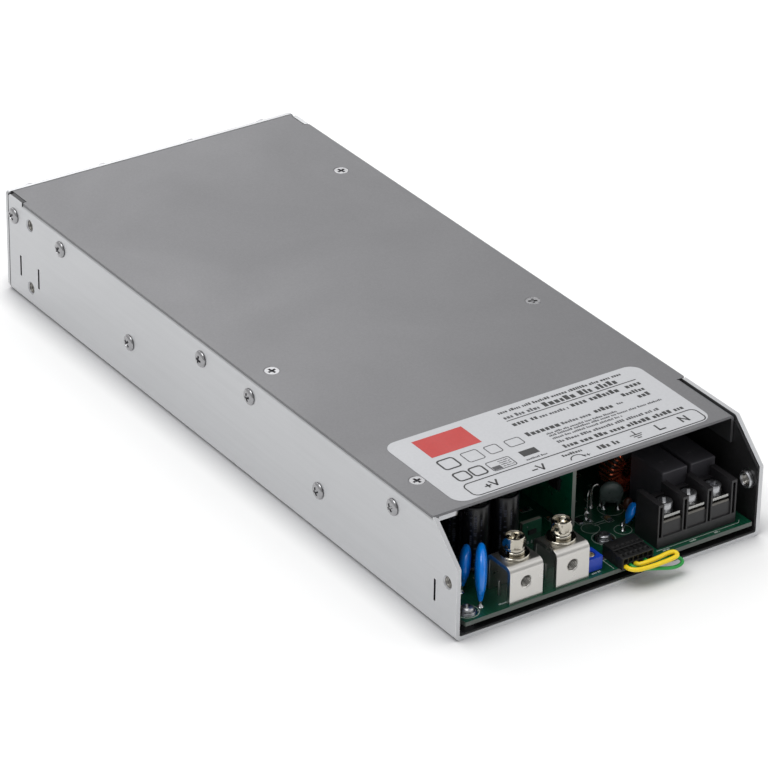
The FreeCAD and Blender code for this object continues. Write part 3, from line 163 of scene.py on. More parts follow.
# Node helpers
class Tree:
    """Adds nodes to a tree; an input is either a value or another node's output."""

    def __init__(self, tree):
        self.tree = tree

    def add(self, kind, inputs=None, **settings):
        node = self.tree.nodes.new(kind if kind.startswith("NodeGroup") else "ShaderNode" + kind)
        for key, value in settings.items():
            setattr(node, key, value)
        for key, value in (inputs or {}).items():
            self.feed(node.inputs[key], value)
        return node

    def feed(self, socket, value):
        if isinstance(value, bpy.types.NodeSocket):
            self.tree.links.new(value, socket)
        else:
            socket.default_value = value

    def mix(self, share, first, second):
        """Colour between two colours."""
        node = self.add("Mix", data_type="RGBA")
        for index, value in ((0, share), (6, first), (7, second)):
            self.feed(node.inputs[index], value)
        return node.outputs[2]

    def span(self, value, low, high, to_low=0.0, to_high=1.0):
        """A value's range stretched to another range."""
        node = self.add("MapRange", {
            "Value": value, "From Min": low, "From Max": high, "To Min": to_low, "To Max": to_high})
        return node.outputs["Result"]

    def math(self, operation, first, second=0.0):
        node = self.add("Math", operation=operation)
        self.feed(node.inputs[0], first)
        self.feed(node.inputs[1], second)
        return node.outputs[0]

    def noise(self, place, scale, detail=3.0, **inputs):
        node = self.add("TexNoise", {"Vector": place, "Scale": scale, "Detail": detail, **inputs})
        return node.outputs["Fac"]

    def dot(self, first, second):
        node = self.add("VectorMath", {0: first, 1: second}, operation="DOT_PRODUCT")
        return node.outputs["Value"]

    def place(self):
        return self.add("TexCoord").outputs["Object"]

    def normal(self):
        return self.add("NewGeometry").outputs["Normal"]

    def mask(self, group, **inputs):
        """The mask that a shared effect gives."""
        return self.add("Group", inputs, node_tree=group).outputs["Mask"]


def effect(name, inputs, outputs):
    """An empty shader node group with float inputs, or vector ones where the value is a triple."""
    tree = bpy.data.node_groups.new(name, "ShaderNodeTree")
    for label, value in inputs.items():
        kind = "NodeSocketVector" if isinstance(value, tuple) else "NodeSocketFloat"
        tree.interface.new_socket(label, in_out="INPUT", socket_type=kind).default_value = value
    for label in outputs:
        tree.interface.new_socket(label, in_out="OUTPUT", socket_type="NodeSocketFloat")
    nodes = Tree(tree)
    return tree, nodes, nodes.add("NodeGroupInput").outputs, nodes.add("NodeGroupOutput").inputs


def grain_effect():
    """Fine grain, drawn out by Stretch: Tone for colour and Height for relief."""
    inputs = {"Stretch": (1.0, 1.0, 1.0), "Fineness": 800.0}
    tree, nodes, given, result = effect("grain", inputs, ["Tone", "Height"])
    place = nodes.add("Mapping", {"Vector": nodes.place(), "Scale": given["Stretch"]}).outputs["Vector"]
    coarse = nodes.noise(place, given["Fineness"], Roughness=0.6)
    fine = nodes.noise(place, nodes.math("MULTIPLY", given["Fineness"], 2.7), 2.0)
    nodes.feed(result["Tone"], nodes.span(coarse, 0.3, 0.7))
    nodes.feed(result["Height"], fine)
    return tree


def marks_effect():
    """Soft handling marks and cloudy patches of a given Size, in metres."""
    tree, nodes, given, result = effect("handling marks", {"Size": 0.02}, ["Mask"])
    scale = nodes.math("DIVIDE", 1.0, given["Size"])
    cloud = nodes.noise(nodes.place(), scale, 4.0, Distortion=0.6)
    nodes.feed(result["Mask"], nodes.span(cloud, 0.25, 0.75))
    return tree


def edge_light_effect():
    """Painted highlights and shade along edges: Mask is high along convex edges within Reach."""
    tree, nodes, given, result = effect("painted edge light", {"Reach": 0.0004}, ["Mask"])
    rounded_normal = nodes.add("Bevel", {"Radius": given["Reach"]}, samples=4).outputs["Normal"]
    edge = nodes.span(nodes.dot(rounded_normal, nodes.normal()), 0.99, 0.82)
    patchy = nodes.noise(nodes.place(), 180.0)
    nodes.feed(result["Mask"], nodes.math("MULTIPLY", edge, nodes.span(patchy, 0.25, 0.6, 0.35, 1.0)))
    return tree


def tracks_effect():
    """Copper tracks under the solder mask: runs of parallel lines along X and Y in loose patches."""
    tree, nodes, given, result = effect("board tracks", {"Pitch": 0.0014}, ["Mask"])
    place = nodes.place()
    axes = nodes.add("SeparateXYZ", {"Vector": place}).outputs
    masks = []
    for axis, patch_scale in (("X", 95.0), ("Y", 70.0)):
        phase = nodes.math("FRACT", nodes.math("DIVIDE", axes[axis], given["Pitch"]))
        line = nodes.span(nodes.math("ABSOLUTE", nodes.math("SUBTRACT", phase, 0.5)), 0.16, 0.22, 1.0, 0.0)
        patch = nodes.span(nodes.noise(place, patch_scale, 1.0), 0.50, 0.53)
        masks.append(nodes.math("MULTIPLY", line, patch))
    nodes.feed(result["Mask"], nodes.math("MAXIMUM", masks[0], masks[1]))
    return tree


def edge_on_effect():
    """Mask of the cut edges of a board that is thin along the Thin direction."""
    tree, nodes, given, result = effect("board edge", {"Thin": (0.0, 0.0, 1.0)}, ["Mask"])
    on_face = nodes.math("ABSOLUTE", nodes.dot(nodes.normal(), given["Thin"]))
    nodes.feed(result["Mask"], nodes.span(on_face, 0.4, 0.6, 1.0, 0.0))
    return tree


def sheared_effect():
    """Mask of painted shade on the walls: the shadowed gap along the left wall's tops, the rear seams and the
    inside of slots.

    Tops are what looks up from above Level, and rear ends are what lies behind Rear.
    """
    slot_reach = 1.5 * MM
    tree, nodes, given, result = effect("sheared edges", {"Level": 0.04, "Rear": 0.14}, ["Mask"])
    slope = nodes.add("SeparateXYZ", {"Vector": nodes.normal()}).outputs["Z"]
    place = nodes.add("SeparateXYZ", {"Vector": nodes.place()}).outputs
    above = nodes.math("GREATER_THAN", place["Z"], given["Level"])
    # Only the left wall's tops get the painted shadow of the gap along the cover.
    left = nodes.math("LESS_THAN", place["X"], 0.0)
    top = nodes.math("MULTIPLY", nodes.math("MULTIPLY", above, left), nodes.span(slope, 0.5, 0.8))
    behind = nodes.math("GREATER_THAN", place["Y"], given["Rear"])
    # Painted shade inside slots and bores, from how little of the surroundings they see.
    openness = nodes.add("AmbientOcclusion", {"Distance": slot_reach}, samples=6, only_local=True)
    inside = nodes.span(openness.outputs["AO"], 0.6, 0.9, 1.0, 0.0)
    nodes.feed(result["Mask"], nodes.math("MAXIMUM", inside, nodes.math("MAXIMUM", top, behind)))
    return tree


GRAIN = grain_effect()
MARKS = marks_effect()
EDGE_LIGHT = edge_light_effect()
TRACKS = tracks_effect()
EDGE_ON = edge_on_effect()
PAINTED_SHADE = sheared_effect()


# Finishes
def seen(red, green, blue, share=1.0):
    """Scene colour of the 0 to 255 values seen on a screen, with its light scaled by a share."""
    parts = [((value / 255 + 0.055) / 1.055) ** 2.4 for value in (red, green, blue)]
    return (*(min(part * share, 1.0) for part in parts), 1.0)


wall_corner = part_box("chassis")[1]
# Height and depth from which the case walls get painted shade on their tops and rear ends.
sheared_top = wall_corner.z - 0.3 * MM
sheared_rear = wall_corner.y - 0.5 * MM
along_case = (1.0, 0.03, 1.0)
along_bracket = (1.0, 0.05, 1.0)


def finish(name, colour, rough, metal=0.0, spread=0.10, stretch=(1, 1, 1), fineness=900.0, relief=0.1,
           clouds=20 * MM, edge=None, reach=0.4 * MM, coat=0.0, tracks=None, thin=None, cut_edge=None,
           sheared=None):
    """A surface with grain, cloudy roughness and, where asked, board tracks, cut board edges, painted
    highlights and shade along its edges, and painted shade on the case walls.

    Colours are the 0 to 255 values seen on a screen, and rough is the low and the high roughness. The grain
    lightens and darkens the colour by spread. Clouds is the size of patches, and reach the width of the
    painted edge light.
    """
    material = bpy.data.materials.new(name)
    material.use_nodes = True
    nodes = Tree(material.node_tree)
    surface = material.node_tree.nodes["Principled BSDF"]
    grain = nodes.add("Group", {"Stretch": stretch, "Fineness": fineness}, node_tree=GRAIN).outputs
    tone = nodes.mix(grain["Tone"], seen(*colour, 1 - spread), seen(*colour, 1 + spread))
    if tracks:
        tone = nodes.mix(nodes.mask(TRACKS), tone, seen(*tracks))
    # A bright edge colour is a painted highlight along convex edges, and a dark one is painted shade there.
    if edge:
        tone = nodes.mix(nodes.mask(EDGE_LIGHT, Reach=reach), tone, seen(*edge))
    if thin:
        tone = nodes.mix(nodes.mask(EDGE_ON, Thin=thin), tone, seen(*cut_edge))
    # Painted shade on the case walls: the shadowed gap along the left wall's tops, the rear seams and inside
    # slots.
    if sheared:
        cut = nodes.mask(PAINTED_SHADE, Level=sheared_top, Rear=sheared_rear)
        tone = nodes.mix(cut, tone, seen(*sheared))
    nodes.feed(surface.inputs["Base Color"], tone)
    nodes.feed(surface.inputs["Roughness"], nodes.span(nodes.mask(MARKS, Size=clouds), 0, 1, *rough))
    bump = nodes.add("Bump", {"Height": grain["Height"], "Strength": relief, "Distance": 0.1 * MM})
    nodes.feed(surface.inputs["Normal"], bump.outputs["Normal"])
    surface.inputs["Metallic"].default_value = metal
    surface.inputs["Coat Weight"].default_value = coat
    return material


def bare_metal(name, colour, rough, **how):
    return finish(name, colour, rough, metal=1.0, **how)


def zinc_sheet(name, **how):
    """Plated sheet with its grain drawn along the case."""
    return bare_metal(name, (187, 188, 190), (0.30, 0.40), spread=0.02, stretch=along_case, fineness=700.0,
                      relief=0.03, clouds=50 * MM, **how)


def moulding(name, colour, rough, **how):
    return finish(name, colour, rough, relief=0.08, **how)


def ink(name, colour, rough, spread):
    return finish(name, colour, rough, spread=spread, relief=0.02)


def insulation(name, colour, spread):
    return finish(name, colour, (0.30, 0.42), spread=spread, fineness=1500.0, relief=0.05, clouds=3 * MM)


def dip(name, colour, rough, **how):
    """The uneven coat of a part dipped in resin."""
    return finish(name, colour, rough, fineness=420.0, **how)


def solder_mask(name, colour, tracks, thin, cut_edge):
    return finish(name, colour, (0.26, 0.38), spread=0.12, fineness=300.0, relief=0.04, clouds=10 * MM,
                  coat=0.15, tracks=tracks, thin=thin, cut_edge=cut_edge)


FINISH = {
    # The case's bright edge colour is a painted highlight along its edges; its dark colour is painted shade
    # on the left wall's tops, the rear seams and inside the slots.
    "case_sheet": zinc_sheet("case_zinc", edge=(234, 235, 236), reach=0.2 * MM, sheared=(50, 50, 52)),
    # The panel's dark edge colour is painted shade along its edges.
    "panel_sheet": zinc_sheet("panel_zinc", edge=(116, 117, 119), reach=0.6 * MM),
    # The cover's dark edge colour is painted shade along its edges and round its screw holes.
    "cover_sheet": bare_metal("satin_cover", (118, 118, 120), (0.42, 0.52), spread=0.05, fineness=1500.0,
                              clouds=60 * MM, edge=(90, 90, 92)),
    "film": finish("black_film", (30, 30, 31), (0.28, 0.45), spread=0.3, relief=0.05),
    "label_foil": finish("label_foil", (176, 177, 180), (0.42, 0.55), metal=0.2, spread=0.03, relief=0.02),
    "print_black": ink("black_print", (16, 16, 18), (0.45, 0.6), 0.2),
    "print_grey": ink("grey_print", (56, 56, 60), (0.45, 0.6), 0.2),
    "print_red": ink("red_print", (170, 34, 30), (0.40, 0.55), 0.06),
    # The dark edge colour is painted shade along the heads' edges.
    "screw_plate": bare_metal("screw_zinc", (154, 154, 156), (0.16, 0.28), spread=0.05, fineness=2500.0,
                              relief=0.03, clouds=2 * MM, edge=(92, 92, 94), reach=0.2 * MM),
    "plated_steel": bare_metal("zinc_plate", (174, 175, 178), (0.24, 0.38), spread=0.05, fineness=2500.0,
                               relief=0.03, clouds=2 * MM),
    "nickel": bare_metal("satin_nickel", (204, 202, 198), (0.26, 0.34), spread=0.01, stretch=along_bracket,
                         fineness=2200.0, relief=0.01, clouds=6 * MM),
    # The bright edge colour is a painted highlight along the edges.
    "bright_nickel": bare_metal("bright_nickel", (182, 177, 165), (0.10, 0.20), spread=0.05, fineness=2600.0,
                                relief=0.03, clouds=3 * MM, edge=(228, 225, 216), reach=0.3 * MM),
    "tin": bare_metal("tinned_wire", (214, 214, 212), (0.16, 0.30), spread=0.08, fineness=2600.0,
                      relief=0.06, clouds=2 * MM),
    "dull_tin": bare_metal("dull_tin", (104, 102, 98), (0.30, 0.45), spread=0.06, fineness=2200.0,
                           relief=0.05, clouds=3 * MM),
    "contact": bare_metal("contact_strip", (52, 49, 44), (0.32, 0.45), spread=0.08, fineness=2600.0,
                          relief=0.05, clouds=1 * MM),
    # The bright edge colour is a painted highlight along the clamps' edges.
    "clamp_steel": bare_metal("clamp_steel", (160, 160, 158), (0.20, 0.32), spread=0.06, fineness=2200.0,
                              relief=0.04, clouds=3 * MM, edge=(232, 230, 224), reach=0.2 * MM),
    "thread_steel": bare_metal("thread_steel", (140, 138, 134), (0.20, 0.32), spread=0.06, fineness=2600.0,
                               relief=0.03, clouds=2 * MM),
    "solder": bare_metal("solder", (196, 198, 200), (0.14, 0.28), spread=0.08, fineness=1800.0,
                         relief=0.08, clouds=2 * MM),
    "black_plastic": moulding("black_moulding", (25, 24, 26), (0.34, 0.46), spread=0.15, fineness=2600.0,
                              clouds=6 * MM),
    "plug_plastic": moulding("plug_moulding", (17, 17, 18), (0.38, 0.52), spread=0.15, fineness=2600.0,
                             clouds=4 * MM),
    "yellow_insulation": insulation("yellow_insulation", (238, 206, 26), 0.04),
    "green_insulation": insulation("green_insulation", (28, 148, 60), 0.06),
    "trimmer_blue": finish("trimmer_blue", (24, 62, 176), (0.28, 0.40), spread=0.08, fineness=2600.0,
                           relief=0.06, clouds=3 * MM),
    "trimmer_white": finish("trimmer_brass", (205, 190, 160), (0.22, 0.34), metal=0.7, spread=0.08,
                            fineness=2600.0, relief=0.05, clouds=2 * MM),
    "blue_epoxy": dip("blue_dip", (0, 116, 212), (0.14, 0.24), spread=0.08, relief=0.14,
                      clouds=4 * MM, coat=0.2),
    "dark_epoxy": dip("dark_dip", (80, 92, 90), (0.25, 0.4), spread=0.2, relief=0.2,
                      clouds=3 * MM, coat=0.3),
    "brown_epoxy": dip("brown_dip", (74, 44, 30), (0.25, 0.4), spread=0.15, relief=0.2,
                       clouds=3 * MM, coat=0.2),
    "can_sleeve": finish("can_sleeve", (14, 14, 17), (0.24, 0.36), spread=0.2, fineness=700.0, relief=0.04,
                         clouds=10 * MM, coat=0.1),
    "can_print": ink("can_print", (74, 76, 88), (0.35, 0.5), 0.15),
    "can_top": bare_metal("can_aluminium", (196, 197, 198), (0.24, 0.36), spread=0.06, fineness=1500.0,
                          relief=0.06, clouds=4 * MM),
    "grey_plastic": moulding("box_moulding", (64, 63, 68), (0.36, 0.5), spread=0.12, fineness=2200.0,
                             clouds=8 * MM),
    "box_print": ink("box_print", (82, 82, 86), (0.4, 0.55), 0.1),
    "ferrite": finish("ferrite", (40, 42, 41), (0.45, 0.6), metal=0.1, spread=0.3, fineness=1600.0,
                      relief=0.25, clouds=6 * MM),
    "copper": finish("copper_enamel", (228, 116, 80), (0.16, 0.28), metal=0.85, spread=0.12, fineness=1500.0,
                     relief=0.04, clouds=3 * MM, coat=0.5),
    "tape": finish("winding_tape", (206, 170, 52), (0.28, 0.40), spread=0.08, relief=0.05, coat=0.2),
    "bar": bare_metal("bar_aluminium", (190, 191, 193), (0.26, 0.38), spread=0.08, stretch=along_case,
                      fineness=1200.0),
    "fan_plastic": moulding("fan_moulding", (26, 26, 28), (0.30, 0.44), spread=0.15, fineness=2000.0,
                            clouds=10 * MM),
    "board": solder_mask("main_solder_mask", (7, 58, 40), tracks=(12, 74, 52), thin=(0, 0, 1),
                         cut_edge=(72, 80, 74)),
    # The control board's mask and track colours are painted lighter than the other boards' as painted light,
    # standing in for light that does not reach that deep.
    "control_mask": solder_mask("lit_control_solder_mask", (12, 112, 80), tracks=(16, 124, 90), thin=(1, 0, 0),
                                cut_edge=(150, 154, 148)),
    "sense_mask": solder_mask("sense_solder_mask", (7, 58, 40), tracks=(12, 74, 52), thin=(0, 1, 0),
                              cut_edge=(120, 122, 112)),
    "silk": finish("white_legend", (172, 180, 174), (0.5, 0.65), spread=0.08, relief=0.03),
    "chip_black": moulding("chip_moulding", (28, 28, 30), (0.4, 0.55), spread=0.15, fineness=3000.0,
                           clouds=2 * MM),
    "chip_tan": moulding("chip_ceramic", (112, 90, 64), (0.4, 0.55), spread=0.12, fineness=3000.0,
                         clouds=2 * MM),
}
yellow_wire.data.materials.append(FINISH["yellow_insulation"])
green_wire.data.materials.append(FINISH["green_insulation"])

for row in frame["record"]["subparts"]:
    node = frame["nodes"][row["node"]]
    node.data.materials.clear()
    node.data.materials.append(FINISH[row["material_slot"]])


# Mesh helpers, in millimetres
def shape(bm, steep=32):
    """Turns a bmesh into a mesh that is smooth up to an angle and sharp beyond it."""
    bmesh.ops.recalc_face_normals(bm, faces=bm.faces)
    mesh = bpy.data.meshes.new("shape")
    bm.to_mesh(mesh)
    bm.free()
    return smoothed(mesh, steep)


def smoothed(mesh, steep=32):
    mesh.polygons.foreach_set("use_smooth", [True] * len(mesh.polygons))
    mesh.set_sharp_from_angle(angle=math.radians(steep))
    return mesh


def bridge(bm, low, high):
    """Faces between two rows of corners; a row may be a single tip."""
    for k in range(max(len(low), len(high))):
        corners = [low[k % len(low)], low[(k + 1) % len(low)], high[(k + 1) % len(high)], high[k % len(high)]]
        bm.faces.new(list(dict.fromkeys(corners)))


def stacked(bm, rows, ring=False):
    """Faces up a stack of rows; a ring joins the last row to the first."""
    for low, high in zip(rows, rows[1:] + rows[:1] if ring else rows[1:]):
        bridge(bm, low, high)


def circle(radius, steps):
    angles = [2 * math.pi * k / steps for k in range(steps)]
    return [(radius * math.cos(angle), radius * math.sin(angle)) for angle in angles]


def lathe(profile, steps=32, ring=False):
    """A profile of (radius, height) points turned about Z."""
    bm = bmesh.new()
    rows = []
    for radius, z in profile:
        outline = circle(radius, steps if radius else 1)
        rows.append([bm.verts.new((x, y, z)) for x, y in outline])
    stacked(bm, rows, ring)
    return shape(bm)


def flat_ring(inner, outer, thick, cut=0.15, steps=48):
    """A flat ring that lies on z = 0, with its edges cut off."""
    return lathe([(inner, cut), (inner + cut, 0), (outer - cut, 0), (outer, cut), (outer, thick - cut),
                  (outer - cut, thick), (inner + cut, thick), (inner, thick - cut)], steps, ring=True)


def prism(outline, low, high):
    """An outline carried up from one height to another."""
    bm = bmesh.new()
    rows = [[bm.verts.new((x, y, z)) for x, y in outline] for z in (low, high)]
    bridge(bm, *rows)
    for row in rows:
        bm.faces.new(row)
    return shape(bm)


def sweep(path, section, up=UP, ring=False):
    """A section of (across, up) points carried along a path; a ring joins its ends."""
    path = [Vector(spot) for spot in path]
    bm = bmesh.new()
    rows = []
    last = len(path) - 1
    for index, spot in enumerate(path):
        before = path[index - 1] if ring or index else spot
        after = path[(index + 1) % len(path)] if ring or index < last else spot
        ahead = (after - before).normalized()
        across = ahead.cross(up).normalized()
        rise = across.cross(ahead)
        rows.append([bm.verts.new(spot + across * u + rise * v) for u, v in section])
    stacked(bm, rows, ring)
    if not ring:
        bm.faces.new(rows[0])
        bm.faces.new(rows[-1])
    return shape(bm)


def rectangle(x0, y0, x1, y1):
    return [(x0, y0), (x1, y0), (x1, y1), (x0, y1)]


def rounded(x0, y0, x1, y1, radius, steps=6):
    """Outline of a rectangle with round corners."""
    outline = []
    for x, y, start in ((x1 - radius, y1 - radius, 0), (x0 + radius, y1 - radius, 90),
                        (x0 + radius, y0 + radius, 180), (x1 - radius, y0 + radius, 270)):
        for k in range(steps + 1):
            angle = math.radians(start + 90 * k / steps)
            outline.append((x + radius * math.cos(angle), y + radius * math.sin(angle)))
    return outline


def chamfered(half_width, half_height, cut):
    """Outline of a rectangle with its corners cut off."""
    w, h = half_width, half_height
    return [(-w + cut, -h), (w - cut, -h), (w, -h + cut), (w, h - cut),
            (w - cut, h), (-w + cut, h), (-w, h - cut), (-w, -h + cut)]


def evaluated(mesh, set_up):
    """A mesh after the modifiers that set_up puts on it."""
    carrier = bpy.data.objects.new("carrier", mesh)
    scene.collection.objects.link(carrier)
    helpers = set_up(carrier) or []
    shown = carrier.evaluated_get(bpy.context.evaluated_depsgraph_get())
    result = bpy.data.meshes.new_from_object(shown)
    for obj in [carrier, *helpers]:
        bpy.data.objects.remove(obj)
    return result


def carved(mesh, cutters):
    """A mesh with cutter meshes taken out of it."""
    def set_up(carrier):
        tools = []
        for cutter in cutters:
            tool = bpy.data.objects.new("cutter", cutter)
            scene.collection.objects.link(tool)
            cut = carrier.modifiers.new("cut", "BOOLEAN")
            cut.operation = "DIFFERENCE"
            cut.solver = "EXACT"
            cut.object = tool
            tools.append(tool)
        return tools
    return smoothed(evaluated(mesh, set_up))


def melted(mesh, cell, passes=10):
    """A mesh whose overlapping parts run together, as a dipped coating does."""
    def set_up(carrier):
        melt = carrier.modifiers.new("melt", "REMESH")
        melt.mode = "VOXEL"
        melt.voxel_size = cell
        relax = carrier.modifiers.new("relax", "SMOOTH")
        relax.iterations = passes
    return smoothed(evaluated(mesh, set_up), 80)


def softened(node, width, segments=2, steep=30):
    """A CAD node's mesh in millimetres with its sharp edges rounded."""
    bm = bmesh.new()
    bm.from_mesh(frame["nodes"][node].data)
    bmesh.ops.scale(bm, vec=(1 / MM, 1 / MM, 1 / MM), verts=bm.verts)
    bmesh.ops.remove_doubles(bm, verts=bm.verts, dist=0.001)
    bmesh.ops.dissolve_limit(bm, angle_limit=math.radians(0.5), verts=bm.verts, edges=bm.edges)
    sharp = [e for e in bm.edges if e.is_manifold and e.calc_face_angle(0) > math.radians(steep)]
    bmesh.ops.bevel(bm, geom=sharp, offset=width, offset_type="OFFSET", segments=segments, profile=0.5,
                    affect="EDGES", clamp_overlap=True)
    return shape(bm)


def joined(parts):
    """One mesh out of (mesh, place, finish name) parts, with the list of its finish names."""
    names = list(dict.fromkeys(part[2] for part in parts))
    bm = bmesh.new()
    for mesh, place, finish_name in parts:
        first_vert, first_face = len(bm.verts), len(bm.faces)
        bm.from_mesh(mesh)
        bm.verts.ensure_lookup_table()
        bm.faces.ensure_lookup_table()
        bmesh.ops.transform(bm, matrix=place, verts=bm.verts[first_vert:])
        for face in bm.faces[first_face:]:
            face.material_index = names.index(finish_name)
    result = bpy.data.meshes.new("joined")
    bm.to_mesh(result)
    bm.free()
    return result, names


def piece(name, parts, body=CASE, stands_for=()):
    """One object, riding on a body, out of (mesh, place, finish name) parts in millimetres."""
    mesh, names = joined(parts)
    mesh.transform(Matrix.Scale(MM, 4))
    for finish_name in names:
        mesh.materials.append(FINISH[finish_name])
    obj = bpy.data.objects.new(name, mesh)
    scene.collection.objects.link(obj)
    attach(obj, body)
    if stands_for:
        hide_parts(*stands_for)
    return obj


def body_of(node):
    return frame["nodes"][node]["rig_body"]


def keep_flat(obj):
    """Shades large faces flat up to their rounded edges."""
    flat = obj.modifiers.new("flat_faces", "WEIGHTED_NORMAL")
    flat.keep_sharp = True


def dress(node, width, finish_name, extra=(), **how):
    """A CAD node shown again with rounded edges, and with extra parts where given."""
    parts = [(softened(node, width, **how), HERE, finish_name), *extra]
    keep_flat(piece(node + "_shell", parts, body_of(node), [node]))


def span_of(node):
    """Low and high corner of a CAD node, in millimetres."""
    low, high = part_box(node)
    return Vector(low) / MM, Vector(high) / MM


def loose_spans(node):
    """Low and high corners, in millimetres, of each loose solid of a CAD node."""
    bm = bmesh.new()
    bm.from_mesh(frame["nodes"][node].data)
    bmesh.ops.remove_doubles(bm, verts=bm.verts, dist=1e-6)
    left = set(bm.verts)
    spans = []
    while left:
        grown = [left.pop()]
        for vert in grown:
            for edge in vert.link_edges:
                other = edge.other_vert(vert)
                if other in left:
                    left.remove(other)
                    grown.append(other)
        spots = [vert.co / MM for vert in grown]
        low = Vector(min(spot[k] for spot in spots) for k in range(3))
        high = Vector(max(spot[k] for spot in spots) for k in range(3))
        spans.append((low, high))
    bm.free()
    return sorted(spans, key=lambda span: tuple(round(value, 2) for value in span[0]))


def foot_of(node):
    """Middle of a CAD node's lowest points, in millimetres."""
    spots = [vert.co / MM for vert in frame["nodes"][node].data.vertices]
    lowest = min(spot.z for spot in spots) + 0.01
    feet = [spot for spot in spots if spot.z < lowest]
    return [(min(spot[k] for spot in feet) + max(spot[k] for spot in feet)) / 2 for k in (0, 1)]


def facing(direction, spot, spin=0.0):
    """Place that turns a shape's +Z to a direction."""
    turn = Vector(direction).to_track_quat("Z", "Y").to_matrix().to_4x4()
    return Matrix.Translation(spot) @ turn @ Matrix.Rotation(spin, 4, "Z")


def at(x, y, z=0.0, turn=0.0):
    """Place at a spot, turned about the upright."""
    return Matrix.Translation((x, y, z)) @ Matrix.Rotation(turn, 4, "Z")


# Housing
dress("chassis", 0.25, "case_sheet")
dress("cover", 0.2, "cover_sheet")
dress("rear_panel", 0.2, "panel_sheet")
case_high = span_of("chassis")[1]
board_low, board_high = span_of("main_pcb")
board_top = board_high.z


# Screw shapes
def cross_bit(span, width, depth):
    """The pointed cross that makes a screw head's recess, down from z = 0."""
    bm = bmesh.new()
    rows = []
    for height, half, wing in ((0.4, span / 2, width / 2), (-depth * 0.55, span * 0.36, width * 0.42),
                               (-depth, width * 0.40, width * 0.30)):
        outline = []
        quarter = [(half, -wing), (half, wing), (wing, wing)]
        for _ in range(4):
            outline += quarter
            quarter = [(-y, x) for x, y in quarter]
        rows.append([bm.verts.new((x, y, height)) for x, y in outline])
    stacked(bm, rows)
    bm.faces.new(rows[0])
    bm.faces.new(rows[-1])
    return shape(bm)


def recessed(head, height, span, width, depth):
    """A screw head with a cross recess sunk from a height."""
    bit = cross_bit(span, width, depth)
    bit.transform(Matrix.Translation((0, 0, height)))
    return carved(head, [bit])


def pan_head(radius, height, span, rim=0.35):
    """A low dome with a cross recess, standing on z = 0; rim is the share of its height that is upright."""
    edge = height * rim
    dome = [(radius * math.sin(turn), edge + (height - edge) * math.cos(turn))
            for turn in (math.radians(angle) for angle in range(0, 91, 10))]
    profile = [(0, height), *dome[1:], (radius - 0.12, 0.06), (radius - 0.25, 0), (0, 0)]
    return recessed(lathe(profile, 40), height - 0.12, span, span * 0.27, height * 0.8)


def sunk_head(radius, height, span):
    """A flat, countersunk head that ends at its top face."""
    profile = [(0, height), (radius - 0.15, height), (radius, height - 0.2), (radius * 0.52, 0), (0, 0)]
    return recessed(lathe(profile, 40), height, span, span * 0.27, height * 0.8)


def washer_head(washer_radius, washer, radius, height, span):
    """A pan head on its own flat washer."""
    head = pan_head(radius, height, span)
    head.transform(Matrix.Translation((0, 0, washer)))
    disc = lathe([(0, 0), (washer_radius - 0.1, 0), (washer_radius, 0.1), (washer_radius, washer - 0.1),
                  (washer_radius - 0.1, washer), (0, washer)], 40)
    return joined([(disc, HERE, "plated_steel"), (head, HERE, "plated_steel")])[0]


def round_head(radius, height, span):
    """A tall round head with a softened top edge."""
    soft = 0.5
    profile = [(0, height), (radius - soft, height), (radius - soft * 0.3, height - soft * 0.3),
               (radius, height - soft), (radius, 0.1), (radius - 0.1, 0), (0, 0)]
    return recessed(lathe(profile, 40), height, span, span * 0.28, height * 0.5)


def hex_head(across, height, span):
    """A hexagon with a turned top: an upright rim round a dish that holds the recess."""
    flat = across / 2
    rim = flat * 0.85
    dish = 0.6
    steps = 72
    rows = [
        (flat * 0.96, 0.0), (flat * 1.16, 0.3), (flat * 1.16, height - 1.4), (flat * 1.02, height - 0.7),
        (flat, height - 0.2), (flat * 0.95, height), (rim, height), (rim - 0.2, height - dish),
        (0, height - dish),
    ]
    bm = bmesh.new()
    rings = []
    for limit, z in rows:
        if not limit:
            rings.append([bm.verts.new((0, 0, z))])
            continue
        ring = []
        for k in range(steps):
            angle = 2 * math.pi * k / steps
            side = flat / math.cos((angle + math.pi / 6) % (math.pi / 3) - math.pi / 6)
            ring.append(bm.verts.new(Matrix.Rotation(angle, 3, "Z") @ Vector((min(limit, side), 0, z))))
        rings.append(ring)
    stacked(bm, rings)
    bm.faces.new(rings[0])
    return recessed(shape(bm), height - dish, span, span * 0.28, 1.6)


def thread(radius, length, pitch=0.7, inside=False):
    """A threaded rod up Z from 0 or, inside, the sleeve of a tapped hole of that radius."""
    steps = 24
    rows_a_turn = 8
    sleeve_wall = 0.5
    depth = 0.55 * pitch
    run_out = 0.6 * pitch
    count = math.ceil(length / pitch * rows_a_turn)
    bm = bmesh.new()
    rings = []
    for row in range(count + 1):
        z = length * row / count
        fade = min(1.0, z / run_out, (length - z) / run_out)
        ring = []
        for k, (x, y) in enumerate(circle(1.0, steps)):
            wave = abs(2 * ((z / pitch - k / steps) % 1.0) - 1)
            reach = radius - depth * wave * fade if inside else radius - depth * (1 - (1 - wave) * fade)
            ring.append(bm.verts.new((x * reach, y * reach, z)))
        rings.append(ring)
    if inside:
        for z in (length, 0):
            rings.append([bm.verts.new((x, y, z)) for x, y in circle(radius + sleeve_wall, steps)])
    stacked(bm, rings, ring=inside)
    if not inside:
        bm.faces.new(rings[0])
        bm.faces.new(rings[-1])
    return shape(bm, 50)


